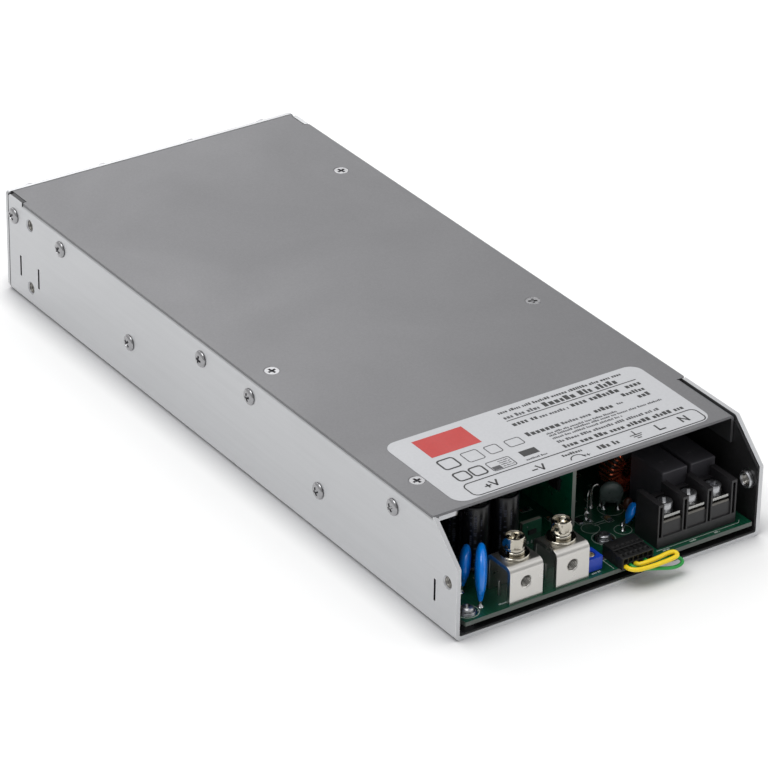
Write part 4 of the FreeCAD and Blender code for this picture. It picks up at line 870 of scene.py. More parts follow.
def screw_set(name, node, head, head_height, rod_radius, outward, finish_name):
    """A headed, threaded screw where each loose solid of a CAD node is.

    Outward is the way the heads face. Heads that face right on the right wall face left on the left wall.
    """
    parts = []
    for low, high in loose_spans(node):
        way = Vector(outward)
        if way.x and low.x < 0:
            way.x = -way.x
        axis = max(range(3), key=lambda k: abs(way[k]))
        top, tip = (high, low) if way[axis] > 0 else (low, high)
        middle = (low + high) / 2
        seat = middle.copy()
        seat[axis] = top[axis] - way[axis] * head_height
        spin = random.uniform(0, math.pi / 2)
        rod = thread(rod_radius, abs(seat[axis] - tip[axis]))
        parts.append((head, facing(way, seat, spin), finish_name))
        parts.append((rod, facing(-way, seat), finish_name))
    piece(name, parts, body_of(node), [node])


# Case fasteners
screw_set("side_screw_set", "side_screws", pan_head(radius=3.1, height=1.3, span=3.5, rim=0.12),
          head_height=1.3, rod_radius=1.45, outward=RIGHT, finish_name="screw_plate")
screw_set("cover_screw_set", "cover_screws", sunk_head(radius=2.8, height=1.6, span=3.8),
          head_height=1.6, rod_radius=1.45, outward=UP, finish_name="screw_plate")
screw_set("board_screw_set", "pcb_screws",
          washer_head(washer_radius=2.9, washer=0.6, radius=2.4, height=1.7, span=2.8),
          head_height=2.3, rod_radius=1.2, outward=UP, finish_name="plated_steel")
screw_set("fan_screw_set", "fan_screws", pan_head(radius=3.4, height=3.0, span=3.8, rim=0.7),
          head_height=3.0, rod_radius=1.9, outward=REAR, finish_name="plated_steel")


def clinch_nut_set():
    """Pressed-in nuts with tapped bores, in the walls and in the floor."""
    flange = 3.3
    shank = 2.6
    bore = 2.0
    lead_in = 0.45
    sheet = 1.6
    wall_zone = 8
    parts = []
    for low, high in loose_spans("clinch_nuts"):
        middle = (low + high) / 2
        if abs(middle.x) > case_high.x - wall_zone:
            side = 1 if middle.x > 0 else -1
            inward = (-side, 0, 0)
            mouth = Vector((side * case_high.x, middle.y, middle.z))
            length = high.x - low.x
        else:
            inward = (0, 0, 1)
            mouth = Vector((middle.x, middle.y, 0))
            length = high.z - low.z
        ring = lathe([
            (bore, lead_in), (bore + lead_in, 0), (shank, 0), (shank, sheet), (flange, sheet),
            (flange, length - lead_in), (flange - lead_in, length), (bore + lead_in, length),
            (bore, length - lead_in),
        ], 40, ring=True)
        place = facing(inward, mouth)
        tapped = thread(bore, length - 2 * lead_in, inside=True)
        parts.append((ring, place, "plated_steel"))
        parts.append((tapped, place @ Matrix.Translation((0, 0, lead_in)), "thread_steel"))
    piece("clinch_nut_set", parts, CASE, ["clinch_nuts"])


clinch_nut_set()


# Output terminals
def spring_washer(inner, outer, thick, lift, gap):
    """A split ring whose two ends stand apart by lift."""
    middle = (inner + outer) / 2
    half = (outer - inner) / 2
    opening = gap / middle
    steps = 48
    path = []
    for k in range(steps + 1):
        angle = opening / 2 + (2 * math.pi - opening) * k / steps
        path.append((middle * math.cos(angle), middle * math.sin(angle), thick / 2 + lift * k / steps))
    return sweep(path, chamfered(half, thick / 2, 0.15))


def output_terminal(name):
    """A bracket with its tapped hole, washers and screw."""
    tap_height = 7.0
    tap_radius = 2.0
    tap_length = 4.6
    lead_in = 0.4
    bore = 2.1
    bracket = "output_bracket_" + name
    low, high = span_of(bracket)
    middle = (low.x + high.x) / 2
    tapped = thread(tap_radius, tap_length, inside=True)
    spot = (middle, low.y + lead_in, low.z + tap_height)
    dress(bracket, 0.35, "nickel", [(tapped, facing(REAR, spot), "thread_steel")], segments=3)

    stack = "output_washers_" + name
    flat, spring, collar = sorted(loose_spans(stack), key=lambda span: span[0].z)
    centre = (flat[0] + flat[1]) / 2
    parts = []
    for low, high, inset in ((*flat, 0.0), (*collar, 0.1)):
        ring = flat_ring(bore, (high.x - low.x) / 2 - inset, high.z - low.z)
        parts.append((ring, at(centre.x, centre.y, low.z), "bright_nickel"))
    low, high = spring
    room = high.z - low.z
    ring = spring_washer(inner=bore + 0.15, outer=3.6, thick=room - 0.35, lift=0.2, gap=0.8)
    parts.append((ring, at(centre.x, centre.y, low.z + 0.07, math.radians(200)), "bright_nickel"))
    piece(stack + "_stack", parts, body_of(stack), [stack])

    screw = "output_screw_" + name
    screw_set(screw + "_bolt", screw, hex_head(across=7.0, height=3.9, span=5.4),
              head_height=3.9, rod_radius=1.7, outward=UP, finish_name="bright_nickel")


for output in OUTPUTS:
    output_terminal(output)


# Input terminals
dress("ac_terminal_block", 0.18, "black_plastic")
dress("ac_terminal_lugs", 0.1, "dull_tin")
for pole in POLES:
    dress("ac_clamp_" + pole, 0.15, "clamp_steel")
    screw_set("ac_screw_" + pole + "_bolt", "ac_screw_" + pole, round_head(radius=3.0, height=3.6, span=4.2),
              head_height=3.6, rod_radius=1.5, outward=UP, finish_name="plated_steel")


# Signal plug and trimmer
plug_low, plug_high = span_of("signal_plug")
plug_pitch = 2.05
plug_margin = 0.3
plug_columns = [plug_low.x + plug_margin + (index + 0.5) * plug_pitch for index in range(6)]


def signal_plug():
    """The plug with a window over each column and a contact in each wire's cavity."""
    window_half = 0.55
    window_front = 1.3
    window_long = 1.5
    window_deep = 0.6
    cutters = []
    for x in plug_columns:
        front = plug_low.y + window_front
        cutters.append(prism(rectangle(x - window_half, front, x + window_half, front + window_long),
                             plug_high.z - window_deep, plug_high.z + 1))
    body = carved(softened("signal_plug", 0.12), cutters)
    cavity_floor = plug_low.y + 1.35
    contact_half = 0.35
    contacts = []
    for x in plug_columns:
        for height in (1.2, 3.3):
            z = plug_low.z + height
            outline = rectangle(x - contact_half, cavity_floor - 0.5, x + contact_half, cavity_floor + 0.2)
            contacts.append((prism(outline, z - contact_half, z + contact_half), HERE, "contact"))
    piece("signal_plug_shell", [(body, HERE, "plug_plastic")], CASE, ["signal_plug"])
    piece("plug_contacts", contacts)


signal_plug()
dress("signal_header", 0.15, "plug_plastic")
dress("trimmer_body", 0.2, "trimmer_blue")


def trimmer_adjuster():
    """A round adjuster with a slot that ends in an arrow head."""
    low, high = span_of("trimmer_adjuster")
    radius = (high.x - low.x) / 2
    middle = (low + high) / 2
    soft = 0.2
    slot_half = 0.3
    slot_deep = 0.55
    arrow_half = 0.55
    reach = radius * 0.8
    knob = lathe([(0, high.z), (radius - soft, high.z), (radius, high.z - soft),
                  (radius, low.z), (0, low.z)], 40)
    slot = rectangle(-reach, -slot_half, reach, slot_half)
    arrow = [(reach, -arrow_half), (reach, arrow_half), (radius * 0.35, 0)]
    cutters = [prism(outline, high.z - slot_deep, high.z + 1) for outline in (slot, arrow)]
    piece("trimmer_adjuster_knob", [(carved(knob, cutters), at(middle.x, middle.y), "trimmer_white")],
          body_of("trimmer_adjuster"), ["trimmer_adjuster"])


trimmer_adjuster()


# Dipped parts
def dipped(node, across, thick, pitch, lift, lead, turn, lean, finish_name):
    """A coated disc on two leads: a plump lens with skirts that run down the leads."""
    half = across / 2
    centre = lift + half
    plump = 2.5
    profile = [(0, -thick / 2)]
    for angle in range(-81, 82, 9):
        round_edge = math.radians(angle)
        bulge = math.copysign(abs(math.sin(round_edge)) ** (2 / plump), round_edge)
        profile.append((half * math.cos(round_edge) ** (2 / plump), thick / 2 * bulge))
    profile.append((0, thick / 2))
    upright = Matrix.Translation((0, 0, centre)) @ Matrix.Rotation(math.pi / 2, 4, "X")
    parts = [(lathe(profile, 48), upright, "coat")]
    skirt_foot = lift - 0.5
    skirt_top = centre - half * 0.55
    for side in (-1, 1):
        skirt = lathe([(0, skirt_foot), (lead + 0.2, skirt_foot), (lead + 0.45, skirt_foot + 0.9),
                       (min(thick * 0.42, lead + 1.1), skirt_top), (0, skirt_top + 0.3)], 20)
        parts.append((skirt, Matrix.Translation((side * pitch / 2, 0, 0)), "coat"))
    coat = melted(joined(parts)[0], max(0.16, across / 70))
    lean_back = Matrix.Rotation(math.radians(lean), 4, "X")
    place = at(*foot_of(node), board_top, math.radians(turn)) @ lean_back
    legs = []
    for side in (-1, 1):
        leg = lathe([(0, 0), (lead, 0), (lead, centre - half * 0.5), (0, centre - half * 0.5)], 16)
        joint = lathe([(0, 0), (lead + 0.75, 0), (lead + 0.45, 0.25), (lead + 0.12, 0.8),
                       (lead, 1.1), (0, 1.1)], 20)
        spot = place @ Matrix.Translation((side * pitch / 2, 0, 0))
        legs.append((leg, spot, "tin"))
        legs.append((joint, at(*spot.translation.xy, board_top), "solder"))
    piece(node + "_dip", [(coat, place, finish_name), *legs], CASE, [node])


disc_turn = 55.5
dipped("surge_disc_large", across=18.0, thick=4.2, pitch=9.0, lift=2.5, lead=0.45,
       turn=disc_turn, lean=0.0, finish_name="blue_epoxy")
dipped("surge_disc_small", across=12.8, thick=4.0, pitch=6.5, lift=3.0, lead=0.40,
       turn=disc_turn, lean=5.5, finish_name="blue_epoxy")
dipped("blue_capacitor", across=6.8, thick=2.8, pitch=3.4, lift=3.4, lead=0.30,
       turn=disc_turn, lean=22.0, finish_name="blue_epoxy")
dipped("inrush_thermistor", across=8.4, thick=3.4, pitch=5.0, lift=2.4, lead=0.40,
       turn=disc_turn - 90, lean=0.0, finish_name="dark_epoxy")


# Cans
def arc_patch(radius, middle, width, low, high, thick=0.05):
    """A thin patch on a can: width is measured round the can, in degrees."""
    steps = max(2, round(width / 6))
    path = []
    for k in range(steps + 1):
        angle = math.radians(middle + width * (k / steps - 0.5))
        path.append((radius * math.cos(angle), radius * math.sin(angle), (low + high) / 2))
    half = (high - low) / 2
    return sweep(path, rectangle(-thick / 2, -half, thick / 2, half))


def can_parts(radius, height, place, stripe_at):
    """Sleeve, pressed top and printing of an electrolytic can."""
    skin = radius - 0.06
    lip = radius * 0.16
    sleeve = lathe([
        (0, 0), (skin - 0.4, 0), (skin, 0.4), (skin, 1.4), (skin - 0.3, 1.9), (skin, 2.4),
        (skin, height - 0.7), (skin - 0.25, height - 0.2), (skin - 0.6, height),
        (skin - lip, height), (skin - lip, height - 0.3), (0, height - 0.3),
    ], 56)
    top_radius = skin - lip - 0.05
    top = lathe([(0, height - 0.35), (top_radius, height - 0.35), (top_radius, height - 0.12),
                 (top_radius - 0.15, height - 0.05), (0, height - 0.05)], 48)
    score = 0.12 + 0.01 * radius
    reach = top_radius * 0.7
    scores = [prism(rectangle(-reach, -score, reach, score), height - 0.2, height + 1),
              prism(rectangle(-score, -reach, score, reach), height - 0.2, height + 1)]
    parts = [(sleeve, place, "can_sleeve"), (carved(top, scores), place, "can_top")]
    patch_radius = radius - 0.04
    stripe = 34
    for low in (0.16, 0.44, 0.72):
        for shift in (-stripe / 2, stripe / 2):
            line = arc_patch(patch_radius, stripe_at + shift, 3, height * 0.1, height * 0.92)
            parts.append((line, place, "can_print"))
        dash = arc_patch(patch_radius, stripe_at, 6, height * low, height * (low + 0.14))
        parts.append((dash, place, "can_print"))
    for column, width in ((stripe_at + 70, 9), (stripe_at + 88, 14), (stripe_at + 112, 7)):
        z = height * 0.16
        while z < height * 0.86:
            tall = random.uniform(0.25, 0.5) * 1.4
            wide = width * random.uniform(0.6, 1.0)
            parts.append((arc_patch(patch_radius, column, wide, z, z + tall), place, "can_print"))
            z += tall + random.choice((0.22, 0.22, 0.3, 1.6))
    return parts


def can_set(name, node, stripe_at):
    """A can where each loose solid of a CAD node is, with its stripe at an angle in degrees."""
    parts = []
    for low, high in loose_spans(node):
        middle = (low + high) / 2
        parts += can_parts((high.y - low.y) / 2, high.z - low.z, at(middle.x, middle.y, low.z), stripe_at)
    piece(name, parts, CASE, [node])


can_set("output_can_set", "output_capacitors", 150)
can_set("bulk_can_set", "bulk_capacitors", 20)


# Wound parts
def turns(inner, outer, height, wire, count, first=0.0, share=1.0):
    """Separate turns of wire round a ring core that stands on z = 0."""
    loops = []
    section = circle(wire, 8)
    for k in range(count):
        angle = first + 2 * math.pi * share * k / count
        ray = Vector((math.cos(angle), math.sin(angle), 0))
        around = Vector((-math.sin(angle), math.cos(angle), 0))
        outline = rounded(inner - wire, -wire, outer + wire, height + wire, wire * 1.6, 3)
        loops.append(sweep([ray * u + UP * v for u, v in outline], section, around, ring=True))
    return loops


def wound(name, node, place, inner, outer, height, wire, count, core=False, first=0.0, share=1.0):
    """The turns of a ring choke in place of a CAD node, and its core where that is part of the node."""
    parts = [(loop, place, "copper") for loop in turns(inner, outer, height, wire, count, first, share)]
    if core:
        parts.append((flat_ring(inner, outer, height, cut=0.8, steps=64), place, "ferrite"))
    piece(name, parts, CASE, [node])


def filter_choke():
    low, high = span_of("filter_choke_core")
    middle = (low + high) / 2
    on_edge = Matrix.Translation((middle.x, low.y, middle.z)) @ Matrix.Rotation(-math.pi / 2, 4, "X")
    wound("filter_choke_turns", "filter_choke_winding", on_edge, inner=4.2, outer=8.0, height=6.0,
          wire=0.5, count=24, first=math.radians(-60), share=0.86)


def boost_choke():
    low, high = span_of("pfc_choke_core")
    middle = (low + high) / 2
    wound("boost_choke_turns", "pfc_choke_winding", at(middle.x, middle.y, low.z), inner=10.5, outer=19.0,
          height=15.0, wire=0.75, count=38)


def output_choke():
    """The CAD winding leaves the ring's front bare, so the centre is found from the rear of its box."""
    low, high = span_of("output_choke")
    radius = (high.x - low.x) / 2
    lift = 1.6
    wound("output_choke_turns", "output_choke", at(low.x + radius, high.y - radius, board_top + lift),
          inner=7.5, outer=14.0, height=12.0, wire=0.75, count=26, core=True)


filter_choke()
boost_choke()
output_choke()


# Moulded boxes and the rest of the board's large parts
def film_boxes():
    """Moulded boxes, each with a long and a short mark on its top."""
    mark_back = 2.2
    mark_tall = 0.9
    mark_lift = 0.02
    parts = [(softened("film_capacitors", 0.5, segments=3), HERE, "grey_plastic")]
    for low, high in loose_spans("film_capacitors"):
        middle = (low + high) / 2
        y = middle.y - mark_back
        for shift, width in ((-1.0, 1.6), (1.0, 0.7)):
            x = middle.x + shift
            outline = rectangle(x - width / 2, y - mark_tall / 2, x + width / 2, y + mark_tall / 2)
            parts.append((prism(outline, high.z - 0.05, high.z + mark_lift), HERE, "box_print"))
    keep_flat(piece("film_capacitor_boxes", parts, CASE, ["film_capacitors"]))


film_boxes()
dress("transformer_core", 0.4, "ferrite")
dress("bridge_rectifier", 0.3, "black_plastic")
dress("power_transistors", 0.25, "black_plastic")


# Label, drawn from its own front left corner
label_low, label_high = span_of("label")
label_wide = label_high.x - label_low.x
label_deep = label_high.y - label_low.y
print_top = label_high.z
foil_top = print_top - 0.03
print_foot = foil_top - 0.01


def printed(outline):
    """A printed area, as thin as ink."""
    return prism(outline, print_foot, print_top)


def printed_line(points, width, ring=False):
    middle = (print_foot + print_top) / 2
    half = (print_top - print_foot) / 2
    section = rectangle(-width / 2, -half, width / 2, half)
    return sweep([(x, y, middle) for x, y in points], section, ring=ring)


def stroke(start, end, width):
    """A straight printed line; its ends reach half a width further."""
    start, end = Vector(start), Vector(end)
    ahead = (end - start).normalized() * width / 2
    across = Vector((-ahead.y, ahead.x))
    return printed([start - ahead - across, end + ahead - across,
                    end + ahead + across, start - ahead + across])


SIGNS = {
    "plus": [((-0.5, 0), (0.5, 0)), ((0, -0.5), (0, 0.5))],
    "minus": [((-0.5, 0), (0.5, 0))],
    "V": [((-0.45, 0.5), (0, -0.5)), ((0, -0.5), (0.45, 0.5))],
    "L": [((-0.35, 0.5), (-0.35, -0.5)), ((-0.35, -0.5), (0.35, -0.5))],
    "N": [((-0.4, -0.5), (-0.4, 0.5)), ((-0.4, 0.5), (0.4, -0.5)), ((0.4, -0.5), (0.4, 0.5))],
    "earth": [((0, 0.9), (0, 0.15)), ((-0.7, 0.15), (0.7, 0.15)), ((-0.45, -0.2), (0.45, -0.2)),
              ((-0.2, -0.55), (0.2, -0.55))],
}


def sign(name, x, y, size, width):
    return [stroke((x + a[0] * size, y + a[1] * size), (x + b[0] * size, y + b[1] * size), width)
            for a, b in SIGNS[name]]


def greeked(left, right, y, tall):
    """Outlines of a row of small blocks that reads as a line of print from afar."""
    blocks = []
    x = left
    in_word = random.randint(3, 8)
    while x < right - 0.3 * tall:
        wide = tall * random.uniform(0.34, 0.66)
        low = y - tall / 2
        high = low + tall * random.choice((0.72, 0.72, 1.0))
        blocks.append(rectangle(x, low, min(x + wide, right), high))
        in_word -= 1
        x += wide + tall * 0.2
        if not in_word:
            in_word = random.randint(3, 8)
            x += tall * 0.45
    return blocks


# Signs are (name, x, y, size, line width), rows of print are (left, right, y, height)
# and boxes are (left, low, right, high)
TERMINAL_SIGNS = [
    ("plus", 15.1, 4.3, 1.9, 0.65), ("V", 18.1, 4.8, 3.0, 0.7),
    ("minus", 34.3, 4.4, 1.6, 0.65), ("V", 37.2, 4.8, 3.0, 0.7),
    ("plus", 55.3, 3.1, 1.2, 0.35), ("earth", 76.8, 4.8, 3.2, 0.5),
    ("L", 86.9, 5.1, 3.2, 0.7), ("N", 97.0, 5.2, 3.2, 0.7),
]
BLACK_ROWS = [
    (47.2, 55.6, 6.8, 1.4), (60.6, 69.6, 4.8, 2.5), (45.6, 97.6, 41.9, 1.5), (62.2, 94.2, 38.6, 3.0),
    (45.4, 55.6, 33.1, 2.5), (70.0, 90.4, 33.4, 2.6), (93.4, 99.6, 33.5, 2.4), (89.0, 99.6, 29.5, 2.0),
    (45.4, 59.2, 25.0, 2.6), (74.2, 82.2, 25.6, 2.3), (93.2, 99.6, 26.0, 2.4), (51.4, 102.2, 11.8, 2.2),
]
GREY_ROWS = [
    (45.4, 61.0, 38.2, 2.0), (56.4, 68.4, 32.6, 1.6), (60.0, 72.4, 24.8, 1.6), (84.0, 87.4, 25.6, 1.2),
    (51.4, 80.8, 21.7, 1.1), (51.4, 99.2, 20.1, 1.1), (51.4, 80.4, 18.1, 1.1), (51.4, 94.2, 15.4, 1.5),
    (35.6, 44.4, 11.2, 1.0), (26.8, 31.2, 15.6, 0.6), (26.8, 31.2, 14.4, 0.6), (26.8, 31.2, 13.2, 0.6),
    (26.8, 31.2, 12.0, 0.6),
]
BLACK_BOXES = [(9.2, 20.0, 15.6, 26.4), (8.9, 11.4, 14.1, 16.8), (15.3, 11.4, 20.5, 16.8)]
GREY_BOXES = [
    (18.9, 20.0, 25.3, 26.4), (28.0, 20.6, 33.0, 25.8), (36.2, 20.9, 42.2, 25.5), (22.4, 10.8, 31.8, 16.7),
]


def dial_sign(x, y, radius):
    """An arc with an arrow head, over the trimmer."""
    angles = [math.radians(angle) for angle in range(165, 19, -10)]
    arc = [(x + radius * math.cos(angle), y + radius * math.sin(angle)) for angle in angles]
    head = [(x + radius + 0.4, y + 1.5), (x + radius - 1.1, y + 1.7), (x + radius - 0.3, y + 0.2)]
    return [printed_line(arc, 0.45), printed(head)]


def label():
    """A pale foil with plain terminal signs; the rest of its print is rows of blocks and plain outlines."""
    foil = prism(rounded(0, 0, label_wide, label_deep, 5.0, 10), label_low.z, foil_top)
    red = [printed(rectangle(9.7, 29.2, 30.1, 41.6))]
    black = [
        printed_line(rounded(7.6, 0.8, 104.2, 9.1, 2.4, 8), 0.5, ring=True),
        stroke((45.4, 36.0), (99.6, 36.0), 0.45),
        printed(rectangle(36.2, 13.4, 42.8, 17.0)),
    ]
    black += dial_sign(51.1, 2.1, 3.0)
    for entry in TERMINAL_SIGNS:
        black += sign(*entry)
    for row in BLACK_ROWS:
        black += [printed(block) for block in greeked(*row)]
    for box in BLACK_BOXES:
        black.append(printed_line(rounded(*box, 1.2, 4), 0.7, ring=True))
    grey = [printed(rectangle(22.8, 11.2, 26.2, 13.4))]
    for box in GREY_BOXES:
        grey.append(printed_line(rounded(*box, 0.8, 3), 0.4, ring=True))
    for row in GREY_ROWS:
        grey += [printed(block) for block in greeked(*row)]
    corner = at(label_low.x, label_low.y)
    parts = [(foil, corner, "label_foil")]
    for meshes, finish_name in ((black, "print_black"), (grey, "print_grey"), (red, "print_red")):
        parts += [(mesh, corner, finish_name) for mesh in meshes]
    piece("label_foil", parts, CASE, ["label"])


label()


# Board detail, drawn from the board's front left corner
board_corner = at(board_low.x, board_low.y)
board_wide = board_high.x - board_low.x
legend_lift = 0.03


def standing(margin):
    """Floor rectangles of what stands on the board, grown by a margin; the case's own sheets are left out."""
    level = board_top + 0.5
    widest = 60
    deepest = 70
    spans = []
    for row in frame["record"]["subparts"]:
        for low, high in loose_spans(row["node"]):
            if low.z < level < high.z and high.x - low.x < widest and high.y - low.y < deepest:
                low -= board_low
                high -= board_low
                spans.append((low.x - margin, low.y - margin, high.x + margin, high.y + margin))
    return spans


def free_spots(count, depth, margin):
    """Spots for small parts on the front of the board, as (x, y, turn, long, wide)."""
    taken = standing(margin)
    room = 2.6
    spots = []
    while len(spots) < count:
        x = random.uniform(2, board_wide - 2)
        y = random.uniform(2, depth)
        if any(left < x < right and front < y < rear for left, front, right, rear in taken):
            continue
        long, wide = random.choice(((2.0, 1.25), (1.6, 0.8), (3.2, 1.6)))
        spots.append((x, y, random.choice((0, math.pi / 2)), long, wide))
        taken.append((x - room, y - room, x + room, y + room))
    return spots


def chip_parts(place, long, wide, tall, finish_name):
    """A small surface part with a tinned cap and a pad at each end."""
    cap = long * 0.22
    body = prism(rectangle(-long / 2 + cap, -wide / 2, long / 2 - cap, wide / 2), 0.04, tall)
    parts = [(body, place, finish_name)]
    for side in (-1, 1):
        inner = side * (long / 2 - cap)
        for outer, half, low, high in ((side * long / 2, wide / 2, 0.02, tall * 1.04),
                                       (side * (long / 2 + 0.35), wide * 0.58, 0.0, 0.06)):
            left, right = sorted((inner, outer))
            parts.append((prism(rectangle(left, -half, right, half), low, high), place, "solder"))
    return parts


def board_small_parts(spots):
    """Small surface parts on the board, and a bare pad round each of its screws."""
    pad = lathe([(0, 0), (3.5, 0), (3.5, 0.04), (0, 0.04)], 40)
    parts = []
    for x, y, turn, long, wide in spots:
        tall, finish_name = random.choice(((0.5, "chip_black"), (0.8, "chip_tan")))
        parts += chip_parts(board_corner @ at(x, y, board_top, turn), long, wide, tall, finish_name)
    for low, high in loose_spans("pcb_screws"):
        middle = (low + high) / 2
        parts.append((pad, at(middle.x, middle.y, board_top), "solder"))
    piece("board_small_parts", parts)


def legend_line(points, width, ring=False):
    section = rectangle(-width / 2, -legend_lift, width / 2, legend_lift)
    return sweep([(x, y, 0) for x, y in points], section, ring=ring)


# Rings are (x, y, radius), lines are lists of points and rows of print are (left, right, y, height)
LEGEND_RINGS = [(79.2, 19.6, 3.1), (70.3, 26.2, 3.2), (84.0, 33.1, 4.6)]
LEGEND_LINES = [
    [(8.6, 3.8), (4.6, 3.7), (0.9, 2.8)],
    [(61.4, 0.8), (61.4, 10.0)],
    [(80.2, 2.0), (115.4, 2.0), (116.6, 3.4)],
    [(72.4, 28.0), (78.0, 28.0)],
    [(72.4, 26.8), (78.0, 26.8)],
    [(70.4, 34.9), (74.2, 34.9)],
]
LEGEND_ROWS = [
    (53.0, 56.6, 2.1, 0.9), (15.6, 19.4, 3.2, 0.8), (82.2, 85.2, 1.1, 0.7), (93.7, 96.2, 1.1, 0.7),
    (104.2, 106.7, 1.1, 0.7),
]


def board_legend(spots):
    """White printing: outlines round parts, screw rings, short lines and rows of blocks."""
    face = board_corner @ Matrix.Translation((0, 0, board_top))
    prints = []
    for x, y, turn, long, wide in spots:
        reach = long / 2 + 0.7
        half = wide / 2 + 0.4
        outline = rectangle(-reach, -half, reach, half)
        prints.append((legend_line(outline, 0.16, ring=True), face @ at(x, y, 0, turn)))
    for low, high in loose_spans("pcb_screws"):
        middle = (low + high) / 2
        prints.append((legend_line(circle(4.1, 40), 0.22, ring=True), at(middle.x, middle.y, board_top)))
    for x, y, radius in LEGEND_RINGS:
        prints.append((legend_line(circle(radius, 40), 0.2, ring=True), face @ at(x, y)))
    for points in LEGEND_LINES:
        prints.append((legend_line(points, 0.18), face))
    for row in LEGEND_ROWS:
        prints += [(prism(block, -legend_lift, legend_lift), face) for block in greeked(*row)]
    piece("board_legend", [(mesh, place, "silk") for mesh, place in prints])


small_part_spots = free_spots(count=44, depth=62, margin=1.2)
board_small_parts(small_part_spots)
board_legend(small_part_spots)


# Arches are (x, y, turn in degrees, span, height)
ARCHES = [(77.0, 36.4, 35, 3.4, 8.0), (80.6, 37.2, -20, 3.2, 8.6), (73.4, 33.4, 60, 3.0, 3.0)]


def wire_bridges():
    """Bare wire arches and a small dipped bead behind the signal plug."""
    parts = []
    gauge = circle(0.32, 10)
    joint = lathe([(0, 0), (1.0, 0), (0.7, 0.25), (0.36, 0.8), (0, 0.9)], 20)
    for x, y, turn, span, tall in ARCHES:
        straight = tall * 0.7
        bend = [math.radians(angle) for angle in range(0, 181, 15)]
        path = [(-span / 2, 0, 0)]
        path += [(-span / 2 * math.cos(a), 0, straight + (tall - straight) * math.sin(a)) for a in bend]
        path.append((span / 2, 0, 0))
        place = board_corner @ at(x, y, board_top, math.radians(turn))
        parts.append((sweep(path, gauge, REAR), place, "tin"))
        for side in (-1, 1):
            parts.append((joint, place @ Matrix.Translation((side * span / 2, 0, 0)), "solder"))
    bead = lathe([(0, 0.3), (1.3, 0.8), (1.8, 2.4), (1.5, 4.4), (0.7, 5.4), (0, 5.6)], 28)
    parts.append((bead, board_corner @ at(87.8, 28.4, board_top), "brown_epoxy"))
    piece("wire_bridges", parts)


wire_bridges()


# Upright boards
def upright_detail(node, name, finish_name, direction, spots):
    """Chips and pads on the low side of an upright board.

    Spots are (along, up, long, tall, thick, finish name), from the board's low corner.
    """
    low = span_of(node)[0]
    out = Vector(direction)
    across = UP.cross(out)
    run = Vector(abs(share) for share in across)
    turn = Matrix((across, UP, out)).transposed().to_4x4()
    parts = [(softened(node, 0.06, segments=1), HERE, finish_name)]
    for along, height, long, tall, thick, look in spots:
        chip = prism(rectangle(-long / 2, -tall / 2, long / 2, tall / 2), -0.02, thick)
        parts.append((chip, Matrix.Translation(low + run * along + UP * height) @ turn, look))
    piece(name, parts, CASE, [node])


def control_board():
    """Chips with four legs on each long side, and scattered pads."""
    first_leg = -1.9
    leg_pitch = 1.27
    leg_reach = 2.6
    spots = []
    for along, height in ((9, 14), (9, 20), (22, 10), (22, 22), (38, 16), (50, 12), (50, 22)):
        spots.append((along, height, 5.0, 4.0, 1.4, "chip_black"))
        for k in range(4):
            for side in (-1, 1):
                leg = along + first_leg + leg_pitch * k
                spots.append((leg, height + side * leg_reach, 0.45, 1.3, 0.3, "solder"))
    for _ in range(46):
        spots.append((random.uniform(2, 60), random.uniform(3, 27), 0.55, 0.55, 0.05, "solder"))
    upright_detail("control_board", "control_board_face", "control_mask", (-1, 0, 0), spots)


def sense_board():
    """A row of pads, a chip and a spare pad."""
    spots = [(1.0 + 1.5 * k, 2.0, 0.7, 1.2, 0.05, "solder") for k in range(5)]
    spots += [(4.0, 6.0, 3.0, 1.6, 0.6, "chip_black"), (2.0, 8.2, 0.5, 0.5, 0.05, "solder")]
    upright_detail("sense_board", "sense_board_face", "sense_mask", (0, -1, 0), spots)


control_board()
sense_board()


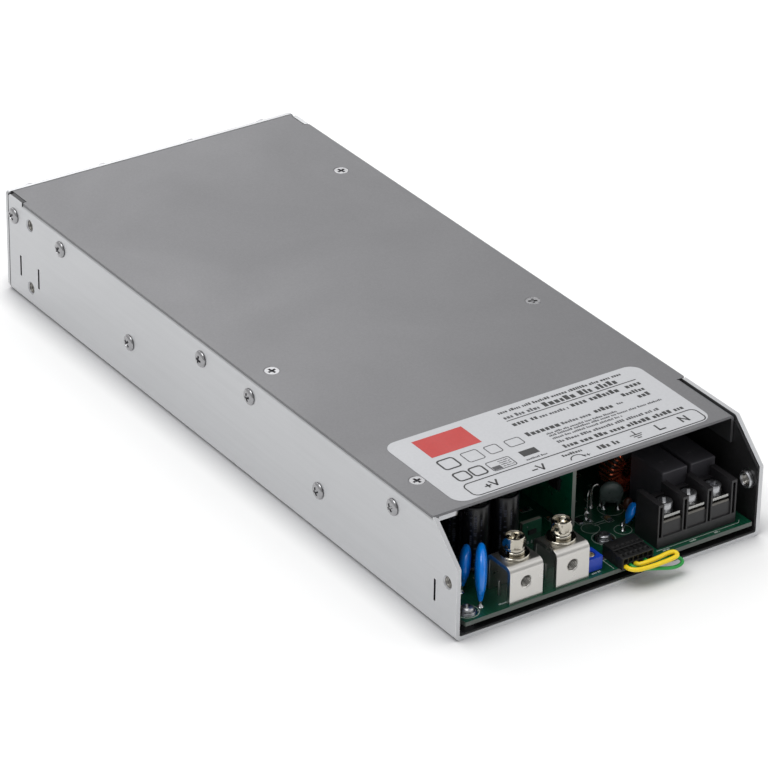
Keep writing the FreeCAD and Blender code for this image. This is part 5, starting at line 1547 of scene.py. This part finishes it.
# Floor and lights
def floor_finish():
    """A pale floor with a painted contact shadow near the object, which only the camera sees."""
    shadow_reach = 12 * MM
    material = finish("studio_floor", (241, 241, 241), (0.7, 0.8), spread=0.01, fineness=2.0, relief=0.0,
                      clouds=1.0)
    nodes = Tree(material.node_tree)
    base = material.node_tree.nodes["Principled BSDF"].inputs["Base Color"]
    pale = base.links[0].from_socket
    openness = nodes.add("AmbientOcclusion", {"Distance": shadow_reach}, samples=16).outputs["AO"]
    looked_at = nodes.add("LightPath").outputs["Is Camera Ray"]
    contact_shadow = nodes.math("MULTIPLY", nodes.span(openness, 0.5, 1.0, 1.0, 0.0), looked_at)
    # The painted contact shadow's colour.
    nodes.feed(base, nodes.mix(contact_shadow, pale, seen(184, 184, 186)))
    return material


def put_floor():
    """A floor, in metres, that reaches far past the view."""
    reach = 6.0
    corners = [(x, y, 0) for x, y in rectangle(-reach, -reach, reach, reach)]
    mesh = bpy.data.meshes.new("floor")
    mesh.from_pydata(corners, [], [(0, 1, 2, 3)])
    floor = bpy.data.objects.new("floor", mesh)
    scene.collection.objects.link(floor)
    mesh.materials.append(floor_finish())


def set_world():
    """A white room, dimmer towards the front."""
    world = bpy.data.worlds.new("studio")
    world.use_nodes = True
    nodes = Tree(world.node_tree)
    sky = world.node_tree.nodes["Background"]
    sky.inputs["Color"].default_value = (1, 1, 1, 1)
    way = nodes.add("SeparateXYZ", {"Vector": nodes.add("TexCoord").outputs["Generated"]}).outputs["Y"]
    nodes.feed(sky.inputs["Strength"], nodes.span(way, -0.9, 0.1, 0.42, 0.75))
    scene.world = world


# Lamps are (name, place, size, power), in metres and watts
LAMPS = [
    ("key", (-0.6, -0.1, 1.7), 1.2, 16.0),
    ("fill", (1.3, -0.7, 0.9), 1.4, 4.0),
    ("back", (0.3, 1.4, 1.2), 1.4, 10.0),
]


def put_lamps():
    lit_spot = Vector((0, -0.05, 0.02))
    for name, place, size, power in LAMPS:
        data = bpy.data.lights.new(name, "AREA")
        data.size = size
        data.energy = power
        lamp = bpy.data.objects.new(name, data)
        lamp.location = place
        aim = lit_spot - lamp.location
        lamp.rotation_euler = aim.to_track_quat("-Z", "Y").to_euler()
        scene.collection.objects.link(lamp)


put_floor()
set_world()
put_lamps()
scene.view_settings.view_transform = "Standard"

bpy.context.view_layer.update()
